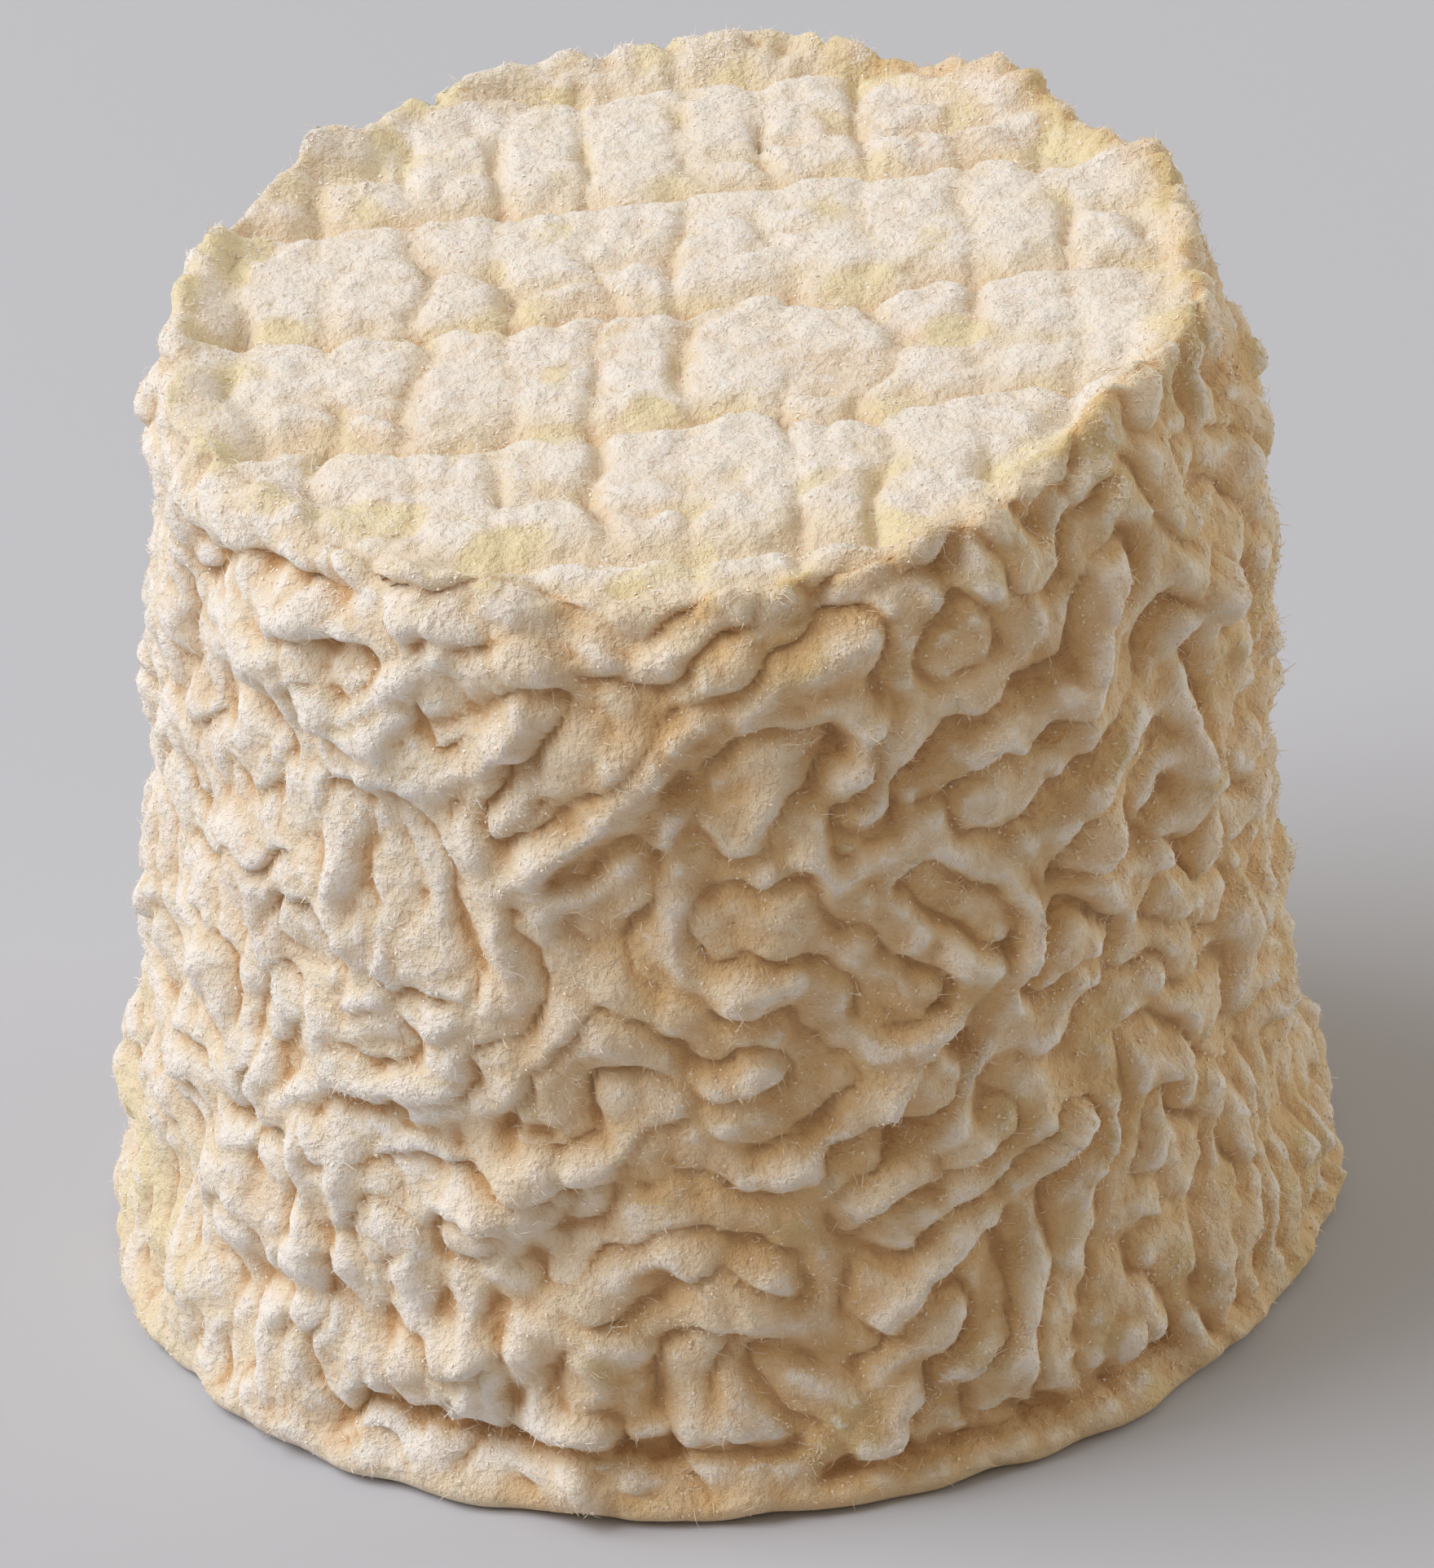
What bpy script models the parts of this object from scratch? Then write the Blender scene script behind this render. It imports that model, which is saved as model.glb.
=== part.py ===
"""A small tall sheep's milk cheese with a wrinkled, grown rind, resting on its flat base.

The origin is the middle of the base, +Z is up and -Y is the side with the sunken rim. The body is a turned
drum. The rind's folds, the mould's imprint on the top and the bumps of the rim are worked out over the drum,
and they move its skin in and out. Angles go round from -Y towards +X.
"""

import math

import bmesh
import bpy
import numpy as np
from mathutils import Matrix

MM = 0.001

# The drum
BASE_RADIUS = 32.0 * MM
FOOT_FLARE = 0.8 * MM
FOOT_REACH = 6.0 * MM
WALL_TAPER = 0.068  # radius lost for each unit of height
WALL_TOP = 43.0 * MM
RIM_RADIUS = 26.3 * MM
RIM_HEIGHT = 53.8 * MM
FOOT_ROUND = 1.6 * MM
LIP_WIDTH = 1.8 * MM
LIP_DROP = 0.45 * MM
TOP_SAG = 0.2 * MM
TILT_BACK = 0.10  # how fast the top rises towards the back
TILT_RIGHT = 0.055

# The rind's folds
FOLD_DEPTH = 1.75 * MM
FOLD_LEAN = 0.45 * MM  # how far a fold's crest sags down the wall
FOLD_SPACING = 3.7 * MM
FINGER_SPACING = 3.1 * MM
LOBE_SPACING = 5.2 * MM
STRAY_SPACING = 4.5 * MM
GROWTH_ROUNDS = 5
CREST_ROUND = 1.4 * MM
CREST_LEVEL = 0.85  # the share of a fold's depth that lies inside the drum
PILLOW_POWER = 1.6  # how broad the crests are on the left, and how thin they are on the right
FINGERS_BELOW = 15.0 * MM
LEVEL_FROM = 14.0 * MM
LEVEL_TO = 26.0 * MM
LOBES_ABOVE = 33.0 * MM
FADE_HEIGHT = 4.0 * MM  # the folds run out towards the base within this height
STEADY_HEIGHT = 12.0 * MM  # below this height the wall gets rounder towards the base

# Broad swellings of the whole skin
BROAD_WAVE = 13.0 * MM
BROAD_SWELL = 0.3 * MM
BROAD_RISE = 0.25 * MM
BROAD_SHARE = 0.18  # how much they deepen the folds

# The imprint of the mould on the top
BAND_PITCH = 11.4 * MM
BAND_OFFSET = 0.1 * MM
BAND_BOW = 0.4 * MM
STEP_DEPTH = 1.0 * MM
STEP_LENGTH = 2.2 * MM
STEP_FRONT = 0.35 * MM
CELL_PITCH = 4.8 * MM
CELL_OFFSET = 0.6 * MM
CELL_CROWN = 0.35 * MM
SEAM_DEPTH = 0.45 * MM
SEAM_WIDTH = 0.6 * MM
SPLIT_DEPTH = 0.45 * MM
SPLIT_WIDTH = 0.7 * MM
IMPRINT_EDGE = 1.8 * MM  # the imprint takes over from the folds within this length inside the rim
PEBBLE_DEPTH = 0.1 * MM
PEBBLE_WAVE = 3.2 * MM
BEND_WAVE = 9.0 * MM  # over which the pattern's lines bend to and fro
WEAR_WAVE = 11.0 * MM

# The rim
RIM_REACH = 4.5 * MM
RIM_REACH_INSIDE = 2.4 * MM
CALM_REACH = 2.6 * MM
RIM_CALM = 0.45  # the share of their depth that the folds lose at the rim
LIP_RISE = 0.5 * MM
LIP_FLARE = 0.2 * MM
LIP_REACH = 1.5 * MM
GUTTER_DEPTH = 0.4 * MM  # the groove inside the lip
GUTTER_AT = 2.9 * MM
GUTTER_REACH = 1.2 * MM
UNDERCUT_DEPTH = 0.45 * MM  # the crease under the lip
UNDERCUT_AT = 2.4 * MM
UNDERCUT_REACH = 1.4 * MM
CRINKLE_WAVE = 7.5 * MM

# Where the groove inside the lip is deeper: degrees round, half width in degrees, and how much deeper
RECESSES = ((-95, 38, 0.4), (58, 16, 1.6))

# The grid that the folds grow on: round the drum, and along its profile
GRID_ROUND = 1024
GRID_ALONG = 384
GIRTH = math.tau * 31.0 * MM
CELL_ALONG = 0.19 * MM
CELL_ROUND = GIRTH / GRID_ROUND

# The mesh
CUBE_CUTS = 111  # cuts along each edge of the cube that the drum is mapped from
TRIANGLES = 11400
FOOT_STEP = 7  # of the cube's cuts, from one kept point of the base's edge to the next
PROFILE_STEP = 0.8 * MM  # the stretch of profile over which its slope is taken

# Bumps of the rim: degrees round, rise, and half width in degrees
RIM_BUMPS = (
    (-136, 1.5 * MM, 6),
    (-98, 0.8 * MM, 20),
    (-39, -0.8 * MM, 8),
    (5, -1.5 * MM, 24),
    (57, 1.5 * MM, 8),
    (80, 0.4 * MM, 16),
    (134, 1.2 * MM, 6),
    (175, 0.6 * MM, 6),
)

# Where the wall swells: degrees round, height, swelling, half width in degrees and half height
SWELLINGS = (
    (100, 2.0 * MM, 1.7 * MM, 26, 7.0 * MM),
    (-45, 2.0 * MM, 0.2 * MM, 30, 8.0 * MM),
    (-90, 38.0 * MM, -1.4 * MM, 50, 22.0 * MM),
    (90, 40.0 * MM, 1.5 * MM, 45, 13.0 * MM),
)

# The folds that stand out at the front, each as points of degrees round and millimetres up
RIDGES = (
    ((-55, 46.5), (-48, 46), (-42, 46.8), (-36, 46)),
    ((-40, 49.8), (-33, 48.3), (-25, 47.8), (-17, 49.8)),
    ((-39, 42), (-34, 43), (-30, 44.5), (-24, 47)),
    ((-39, 38.6), (-30, 39.2), (-22, 40.2), (-16.5, 44)),
    ((-23, 37.5), (-20.5, 33.5), (-18.5, 29), (-27, 26.2)),
    ((-20, 34.7), (-12, 37.3), (-7, 39.7), (1, 44)),
    ((-3, 38.8), (-2, 35), (-3, 31)),
    ((-38.5, 35), (-38, 30)),
    ((10.5, 37.5), (13, 34.8), (20, 35.8), (24, 37)),
    ((16, 33.5), (22, 35), (31.5, 33), (33, 29.3), (27, 23.2)),
    ((22, 38.5), (30, 40.4), (41.5, 41.5), (48, 46.8)),
    ((34, 34.2), (44, 35.5), (49.5, 38)),
    ((45, 34), (41, 31.8), (47, 26.2)),
    ((50, 34), (57, 35.5), (55.3, 42), (66, 43)),
    ((5, 44.3), (10.5, 46), (18, 47.5)),
    ((-10, 48), (-5, 46.8), (5, 50.2)),
    ((11, 43), (14, 44.2), (18, 42.5), (15, 40)),
    ((3, 29.3), (9, 29.5)),
    ((13, 27.5), (15, 25.5), (24.5, 26)),
    ((-50, 20), (-47, 24.5)),
    ((-47, 19.5), (-40, 22), (-26, 23)),
    ((-44, 17), (-43, 12), (-41, 9.5)),
    ((-38.5, 17.5), (-38, 10.5)),
    ((-22, 16.5), (-29, 16.6), (-30.5, 12.5), (-27.5, 8.5)),
    ((-19, 13.2), (-25, 13), (-24, 8.5)),
    ((-5, 14.8), (-12, 13), (-19, 10.5), (-17.5, 5.5), (-12, 4.9)),
    ((4, 19), (9, 19.5), (17, 22), (20.5, 23.8)),
    ((14, 16.8), (24, 20), (26, 23), (21, 25)),
    ((22, 17.5), (31, 20.5), (39, 25.5)),
    ((37, 18), (31, 16), (31, 11), (27, 5)),
    ((15, 10.3), (23, 14), (28, 14.5)),
    ((6, 7.8), (12, 6.7), (22, 10)),
    ((10, 5), (15, 2.8), (17, 6.5)),
)
CREASES = (
    ((-52, 48.3), (-41, 48.5)),
    ((-36, 41), (-30, 41.6), (-24, 43), (-20, 45)),
    ((-14, 35), (-5, 38), (-1, 40.6)),
    ((12, 41.5), (14.5, 42), (17, 41.4)),
    ((15, 37.2), (17, 36.8), (20, 37.6)),
    ((-39, 20.8), (-26, 20.2)),
    ((-20, 21.2), (-10, 21)),
    ((-50, 8.7), (-40, 9.6)),
    ((-35, 4.2), (-20, 3.9), (-5, 3.9), (6, 4.2)),
    ((10, 2.4), (30, 2.5), (48, 3.2)),
)
RIDGE_WIDTH = 1.0 * MM
CREASE_WIDTH = 0.7 * MM


def smooth_step(value):
    value = np.clip(value, 0.0, 1.0)
    return value * value * (3.0 - 2.0 * value)


def turn_between(angle, other):
    """The angle from one bearing to another, the short way round."""
    return (angle - other + math.pi) % math.tau - math.pi


def drum_profile():
    """Radius and height of the drum's skin, and the length along it, from the edge of the base."""
    foot = np.linspace(0, math.pi / 2, 12)
    foot_radius = BASE_RADIUS - FOOT_ROUND * (1 - np.sin(foot))
    foot_height = FOOT_ROUND * (1 - np.cos(foot))
    wall_height = np.linspace(FOOT_ROUND, WALL_TOP, 60)[1:]
    wall_radius = BASE_RADIUS - WALL_TAPER * (wall_height - FOOT_ROUND)
    turn = np.linspace(0, math.pi / 2, 40)[1:]
    shoulder_radius = RIM_RADIUS + (wall_radius[-1] - RIM_RADIUS) * np.cos(turn)
    shoulder_height = WALL_TOP + (RIM_HEIGHT - WALL_TOP) * np.sin(turn)
    top_radius = np.linspace(RIM_RADIUS, 0, 80)[1:]
    top_height = RIM_HEIGHT - LIP_DROP * smooth_step((RIM_RADIUS - top_radius) / LIP_WIDTH)
    top_height -= TOP_SAG * (1 - (top_radius / RIM_RADIUS) ** 2)
    radius = np.concatenate([foot_radius, wall_radius, shoulder_radius, top_radius])
    height = np.concatenate([foot_height, wall_height, shoulder_height, top_height])
    radius += FOOT_FLARE * np.exp(-((height / FOOT_REACH) ** 2))
    length = np.concatenate([[0], np.cumsum(np.hypot(np.diff(radius), np.diff(height)))])
    return radius, height, length


RADIUS, HEIGHT, LENGTH = drum_profile()
RIM_INDEX = int(np.argmax(HEIGHT))
RIM_LENGTH = LENGTH[RIM_INDEX]


def stretch_at(x, y):
    """How much taller the cheese is over a place of its plan than in the middle."""
    return 1 + (TILT_BACK * y + TILT_RIGHT * x) / RIM_HEIGHT


def length_at(angle, height):
    """The length along the profile at a height of the finished wall."""
    x, y = BASE_RADIUS * np.sin(angle), -BASE_RADIUS * np.cos(angle)
    upright = height / stretch_at(x, y)
    return np.interp(upright, HEIGHT[: RIM_INDEX + 1], LENGTH[: RIM_INDEX + 1])


def grid_waves(spacing):
    """How many of each wave of the grid fit in a spacing: round the drum, along its profile, in all."""
    across = np.fft.fftfreq(GRID_ROUND, CELL_ROUND)[:, None] * spacing
    along = np.fft.rfftfreq(GRID_ALONG, CELL_ALONG)[None, :] * spacing
    return across, along, np.hypot(across, along)


def wave_filter(spacing, spread=0.22, heading=None, focus=2.5):
    """Keeps waves of one spacing and, with a heading in degrees, mostly the folds that run that way."""
    across, along, pitch = grid_waves(spacing)
    keep = np.exp(-0.5 * ((pitch - 1) / spread) ** 2)
    if heading is not None:
        run = math.radians(heading)
        keep = keep * np.exp(-focus * (across * math.cos(run) + along * math.sin(run)) ** 2)
    return keep


def blur_filter(width):
    return np.exp(-(grid_waves(width)[2] ** 2))


def filtered(field, keep):
    return np.fft.irfft2(np.fft.rfft2(field) * keep, s=field.shape)


def noise(seed, spacing, spread=0.35):
    """Random waves of one spacing over the grid, of unit strength."""
    rough = np.random.default_rng(seed).standard_normal((GRID_ROUND, GRID_ALONG))
    waves = filtered(rough, wave_filter(spacing, spread))
    return waves / waves.std()


def distance_to(path, angle, length):
    """How far each place of the grid is from a path of degrees round and millimetres up."""
    nearest = np.full(np.broadcast(angle, length).shape, 1.0)
    radius = GIRTH / math.tau
    turns = [math.radians(turn) for turn, _ in path]
    lengths = [length_at(turn, height * MM) for turn, (_, height) in zip(turns, path)]
    for start in range(len(path) - 1):
        step_x = radius * (turns[start + 1] - turns[start])
        step_y = lengths[start + 1] - lengths[start]
        from_x = radius * turn_between(angle, turns[start])
        from_y = length - lengths[start]
        share = (from_x * step_x + from_y * step_y) / (step_x**2 + step_y**2)
        share = np.clip(share, 0, 1)
        gap = np.hypot(from_x - share * step_x, from_y - share * step_y)
        nearest = np.minimum(nearest, gap)
    return nearest


def fold_push(angle, length):
    """Pushes the growth up along the ridges, and down in the creases and beside the ridges."""
    push = np.zeros(np.broadcast(angle, length).shape)
    for path in RIDGES:
        gap = distance_to(path, angle, length)
        push += 1.6 * np.exp(-((gap / RIDGE_WIDTH) ** 2))
        push -= 0.7 * np.exp(-(((gap - 2 * RIDGE_WIDTH) / (0.7 * RIDGE_WIDTH)) ** 2))
    for path in CREASES:
        push -= 2.4 * np.exp(-((distance_to(path, angle, length) / CREASE_WIDTH) ** 2))
    return np.clip(push, -2.5, 2.0)


def grown_folds():
    """The height of the rind's folds over the grid, from 0 in the creases to 1 on the crests.

    Waves of one spacing are kept and sharpened a few times, so that they join up into short winding folds.
    The kind of wave changes over the wall: fingers low down, level folds, then large slanting lobes.
    """
    angle = (np.arange(GRID_ROUND) * math.tau / GRID_ROUND)[:, None]
    length = (np.arange(GRID_ALONG) * CELL_ALONG)[None, :]
    height = np.interp(length, LENGTH, HEIGHT) + 2.5 * MM * noise(11, 12 * MM)
    right = smooth_step(0.5 + 1.4 * np.sin(angle - 0.2) + 0.15 * noise(12, 12 * MM))
    fingers = smooth_step((FINGERS_BELOW - height) / (5 * MM))
    level = smooth_step((height - LEVEL_FROM) / (4 * MM)) * smooth_step((LEVEL_TO - height) / (4 * MM))
    lobes = smooth_step((height - LOBES_ABOVE) / (6 * MM)) * (1 - 0.8 * right)
    even = np.clip(1 - fingers - level - lobes, 0.25, 1)
    kinds = (
        (fingers, wave_filter(FINGER_SPACING, spread=0.35, heading=90, focus=0.7)),
        (level, wave_filter(FOLD_SPACING, spread=0.35, heading=8, focus=0.35)),
        (lobes, wave_filter(LOBE_SPACING, spread=0.4, heading=30, focus=0.35)),
        (even * (1 - right), wave_filter(FOLD_SPACING, spread=0.4)),
        (even * right, wave_filter(FINGER_SPACING, spread=0.4)),
    )
    push = fold_push(angle, length)
    stray = noise(13, STRAY_SPACING, 0.6)
    skin = noise(14, 4 * MM, 0.6) + push
    for _ in range(GROWTH_ROUNDS):
        waves = sum(mask * filtered(skin, keep) for mask, keep in kinds)
        skin = np.tanh(1.1 * waves / waves.std() + 0.6 * push + 0.35 * stray)
    skin = filtered(skin, blur_filter(CREST_ROUND))
    skin = skin / skin.std() + 0.35 * noise(16, 6 * MM, 0.5)
    crest = 0.5 + 0.5 * np.tanh(0.7 * skin)
    pillow = 1 - (1 - crest) ** PILLOW_POWER
    net = crest**PILLOW_POWER
    return pillow + right * (net - pillow)


def sample(field, angle, length):
    """Reads a field of the grid at any bearing and length."""
    place = (angle / math.tau * GRID_ROUND) % GRID_ROUND
    rise = np.clip(length / CELL_ALONG, 0, GRID_ALONG - 1.001)
    i, j = place.astype(int), rise.astype(int)
    u, v = place - i, rise - j
    i, following = i % GRID_ROUND, (i + 1) % GRID_ROUND
    low = field[i, j] * (1 - u) + field[following, j] * u
    high = field[i, j + 1] * (1 - u) + field[following, j + 1] * u
    return low * (1 - v) + high * v


def imprint(x, y, waviness, wear):
    """How far the pressed pattern lies below the plain top: shingled bands, cut into cells by short seams.

    Where it is worn, the cells run together.
    """
    y = y + 0.55 * MM * waviness - BAND_BOW * (x / RIM_RADIUS) ** 2
    x = x + 0.5 * MM * waviness
    band = np.floor((y - BAND_OFFSET) / BAND_PITCH)
    behind = (y - BAND_OFFSET) - band * BAND_PITCH
    before = BAND_PITCH - behind
    mark = -STEP_DEPTH * np.clip(1 - behind / STEP_LENGTH, 0, 1) ** 1.5
    mark -= STEP_DEPTH * np.exp(-((before / STEP_FRONT) ** 2))
    seam_number = np.round((x - CELL_OFFSET) / CELL_PITCH)
    seam = x - CELL_OFFSET - seam_number * CELL_PITCH
    column = np.floor((x - CELL_OFFSET) / CELL_PITCH)
    split = 0.42 + 0.12 * np.sin(3.7 * column + 5.1 * band)
    split_depth = SPLIT_DEPTH * np.clip(np.sin(5.3 * column + 2.9 * band) + 0.5, 0, 1)
    mark -= wear * split_depth * np.exp(-(((behind - split * BAND_PITCH) / SPLIT_WIDTH) ** 2))
    vary = wear * (0.7 + 0.3 * np.sin(2.1 * seam_number + 4.3 * band))
    mark -= SEAM_DEPTH * vary * np.exp(-((seam / SEAM_WIDTH) ** 2))
    mark -= CELL_CROWN * vary * (1 - np.abs(2 * seam / CELL_PITCH)) ** 3
    return mark


def unfold(cube):
    """For points of the cube's skin: bearing, length along the profile, and share of the base.

    The cube's sides become the wall, its top the disc inside the rim and its bottom the flat base.
    """
    x, y, z = cube.T
    ring = np.maximum(np.abs(x), np.abs(y))
    wide = np.abs(x) >= np.abs(y)
    main = np.where(wide, x, y)
    cross = np.where(wide, y, x)
    lean = cross / np.where(main == 0, 1, main) * math.pi / 4
    turn = np.where(wide, lean, math.pi / 2 - lean) + np.where(main < 0, math.pi, 0)
    bearing = turn + math.pi / 2
    inside = ring < 1 - 1e-6
    up_wall = RIM_LENGTH * (z + 1) / 2
    over_top = np.interp(-ring * RIM_RADIUS, -RADIUS[RIM_INDEX:], LENGTH[RIM_INDEX:])
    length = np.where(inside, np.where(z > 0, over_top, 0), up_wall)
    base_share = np.where(inside & (z < 0), ring, 1)
    return bearing, length, base_share


def wall_swelling(bearing, height):
    """How far the wall stands out of the round drum."""
    swelling = 0
    for turn, middle, rise, half_turn, half_height in SWELLINGS:
        aside = turn_between(bearing, math.radians(turn)) / math.radians(half_turn)
        swelling = swelling + rise * np.exp(-(aside**2) - ((height - middle) / half_height) ** 2)
    return swelling


def rim_rise(bearing):
    rise = 0
    for turn, bump, half_turn in RIM_BUMPS:
        aside = turn_between(bearing, math.radians(turn)) / math.radians(half_turn)
        rise = rise + bump * np.exp(-(aside**2))
    return rise


def profile_heading(length):
    """Which way the profile runs at a length: how fast inwards or outwards, and how fast up."""
    ahead = np.minimum(length + PROFILE_STEP, LENGTH[-1])
    behind = np.maximum(length - PROFILE_STEP, 0)
    run_in = np.interp(ahead, LENGTH, RADIUS) - np.interp(behind, LENGTH, RADIUS)
    run_up = np.interp(ahead, LENGTH, HEIGHT) - np.interp(behind, LENGTH, HEIGHT)
    run = np.hypot(run_in, run_up)
    return run_in / run, run_up / run


def top_relief(x, y):
    """The imprint and the pebbles of the top, read over a flat piece of the grid, without a pole."""
    place = x / (GIRTH / math.tau), y + GRID_ALONG * CELL_ALONG / 2
    worn = np.clip(0.9 + 0.35 * sample(noise(25, WEAR_WAVE), *place), 0.15, 1.3)
    mark = imprint(x, y, sample(noise(21, BEND_WAVE), *place), worn)
    return mark + PEBBLE_DEPTH * sample(noise(22, PEBBLE_WAVE), *place)


def rim_forms(bearing, length):
    """The lip, the groove inside it and the crease under it, all of them uneven along the rim."""
    crinkle = sample(noise(24, CRINKLE_WAVE, 0.6), bearing, length)
    lip = np.exp(-(((length - RIM_LENGTH) / LIP_REACH) ** 2)) * np.clip(0.75 + 0.5 * crinkle, 0, 1.7)
    gutter = np.exp(-(((length - RIM_LENGTH - GUTTER_AT) / GUTTER_REACH) ** 2))
    deeper = 1
    for turn, half_turn, more in RECESSES:
        aside = turn_between(bearing, math.radians(turn)) / math.radians(half_turn)
        deeper = deeper + more * np.exp(-(aside**2))
    gutter *= deeper * np.clip(0.6 + 0.5 * crinkle, 0.1, 1.2)
    undercut = np.exp(-(((RIM_LENGTH - UNDERCUT_AT - length) / UNDERCUT_REACH) ** 2))
    undercut *= np.clip(0.7 + 0.6 * crinkle + 0.5 * np.cos(bearing), 0, 1.6)
    return lip, gutter, undercut


def cheese_points(cube):
    """The finished skin, for points of the cube's skin."""
    bearing, length, base_share = unfold(cube)
    radius = np.interp(length, LENGTH, RADIUS)
    height = np.interp(length, LENGTH, HEIGHT)
    run_in, run_up = profile_heading(length)
    top_mark = top_relief(radius * np.sin(bearing), -radius * np.cos(bearing))
    lip, gutter, undercut = rim_forms(bearing, length)
    crest = sample(grown_folds(), bearing, length)
    broad = sample(noise(23, BROAD_WAVE), bearing, length)

    on_top = smooth_step((length - RIM_LENGTH) / IMPRINT_EDGE)
    fade = smooth_step(height / FADE_HEIGHT) * (1 - on_top)
    steady = 0.15 + 0.85 * smooth_step(height / STEADY_HEIGHT)
    rim_reach = np.where(length > RIM_LENGTH, RIM_REACH_INSIDE, RIM_REACH)
    at_rim = np.exp(-(((length - RIM_LENGTH) / rim_reach) ** 2))
    calm = np.exp(-(((length - RIM_LENGTH) / CALM_REACH) ** 2))

    depth = FOLD_DEPTH * (1 + BROAD_SHARE * broad) * (1 - RIM_CALM * calm)
    out = depth * (crest - CREST_LEVEL) * fade + top_mark * on_top
    out = out - UNDERCUT_DEPTH * undercut - GUTTER_DEPTH * gutter
    sag = FOLD_LEAN * (crest - 0.5) * fade
    swell = wall_swelling(bearing, height) + BROAD_SWELL * broad * (1 - on_top) * steady
    swell = swell + LIP_FLARE * lip
    out_r = (radius + out * run_up - sag * run_in + swell) * base_share
    out_z = height - out * run_in - sag * run_up
    out_z += (rim_rise(bearing) + BROAD_RISE * broad) * at_rim + LIP_RISE * lip
    x, y = out_r * np.sin(bearing), -out_r * np.cos(bearing)
    z = np.where(height > 0, np.maximum(out_z, 0), 0) * stretch_at(x, y)
    return np.stack([x, y, z], axis=1)


def cheese_material():
    material = bpy.data.materials.new("wrinkled_rind")
    material.use_nodes = True
    shader = material.node_tree.nodes["Principled BSDF"]
    shader.inputs["Base Color"].default_value = (0.74, 0.62, 0.45, 1)
    shader.inputs["Roughness"].default_value = 0.8
    shader.inputs["Metallic"].default_value = 0
    return material


def foot_marks(cube):
    """Points along the edge of the base that stay when the mesh is thinned, so that the foot stays round."""
    steps = np.round((cube + 1) * (CUBE_CUTS + 1) / 2)
    at_edge = (steps[:, 2] == 0) & (np.abs(cube[:, :2]).max(axis=1) > 1 - 1e-6)
    return np.flatnonzero(at_edge & (steps[:, :2] % FOOT_STEP == 0).all(axis=1))


def make_cheese():
    shell = bmesh.new()
    bmesh.ops.create_cube(shell, size=2)
    bmesh.ops.subdivide_edges(shell, edges=shell.edges, cuts=CUBE_CUTS, use_grid_fill=True)
    cube = np.array([vert.co for vert in shell.verts])
    for vert, place in zip(shell.verts, cheese_points(cube)):
        vert.co = place
    mesh = bpy.data.meshes.new("cheese")
    shell.to_mesh(mesh)
    shell.free()
    corners = np.empty(len(mesh.vertices) * 3, np.float32)
    mesh.vertices.foreach_get("co", corners)
    low, high = corners.reshape(-1, 3).min(axis=0), corners.reshape(-1, 3).max(axis=0)
    middle = (low + high) / 2
    mesh.transform(Matrix.Translation((-middle[0], -middle[1], -low[2])))
    mesh.materials.append(cheese_material())
    mesh.shade_smooth()

    cheese = bpy.data.objects.new("cheese", mesh)
    bpy.context.scene.collection.objects.link(cheese)
    foot = cheese.vertex_groups.new(name="foot")
    foot.add(foot_marks(cube).tolist(), 1.0, "REPLACE")
    thin = cheese.modifiers.new("thin_out", "DECIMATE")
    thin.ratio = TRIANGLES / (2 * len(mesh.polygons))
    thin.vertex_group = foot.name
    thin.invert_vertex_group = True
    return cheese


def clear_scene():
    for obj in list(bpy.data.objects):
        bpy.data.objects.remove(obj, do_unlink=True)


clear_scene()
make_cheese()
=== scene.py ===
# %% [markdown]
# # A small sheep's milk cheese with a wrinkled rind
#
# The real thing is a hand-sized drum of soft cheese, 67 mm wide and 58 mm tall. While it ripens, a white
# mould grows over it, and the skin under the mould creeps into folds like the surface of a brain.
#
# This lesson makes it in four steps: the fixed frame, the skin and its folds, the finish of the rind with
# its fuzz of mould, and the floor, light and camera. Each step says how the thing could be made in Blender
# and why it is made this way.

# %% Load the frame that everything is fitted to
import math

import bpy
import numpy as np
from mathutils import Matrix, Vector


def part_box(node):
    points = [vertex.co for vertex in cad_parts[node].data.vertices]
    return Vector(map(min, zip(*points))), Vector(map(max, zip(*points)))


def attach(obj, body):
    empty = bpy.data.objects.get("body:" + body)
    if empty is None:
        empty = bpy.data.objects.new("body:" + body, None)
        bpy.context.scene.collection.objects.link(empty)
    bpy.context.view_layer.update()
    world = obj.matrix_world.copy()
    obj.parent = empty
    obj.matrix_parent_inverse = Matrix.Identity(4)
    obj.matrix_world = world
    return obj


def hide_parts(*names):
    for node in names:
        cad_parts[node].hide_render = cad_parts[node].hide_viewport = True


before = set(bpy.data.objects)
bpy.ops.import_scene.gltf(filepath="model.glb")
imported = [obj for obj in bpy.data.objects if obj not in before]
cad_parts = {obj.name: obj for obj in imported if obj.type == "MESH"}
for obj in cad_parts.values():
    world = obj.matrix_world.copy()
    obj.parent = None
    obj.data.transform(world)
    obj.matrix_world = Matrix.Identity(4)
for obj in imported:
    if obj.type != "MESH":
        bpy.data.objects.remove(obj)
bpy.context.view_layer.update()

MM = 0.001

# %% [markdown]
# ## The drum under the folds
#
# Before it wrinkled, the cheese was a plain drum: a flat base, a wall that leans in a little, a round
# shoulder and a top with a thin raised lip. A turned shape like this could be spun from a curve. Here its
# profile is kept as numbers instead, because each point of the mesh has to know how far along the profile
# it lies: the folds are worked out over that length.

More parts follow.
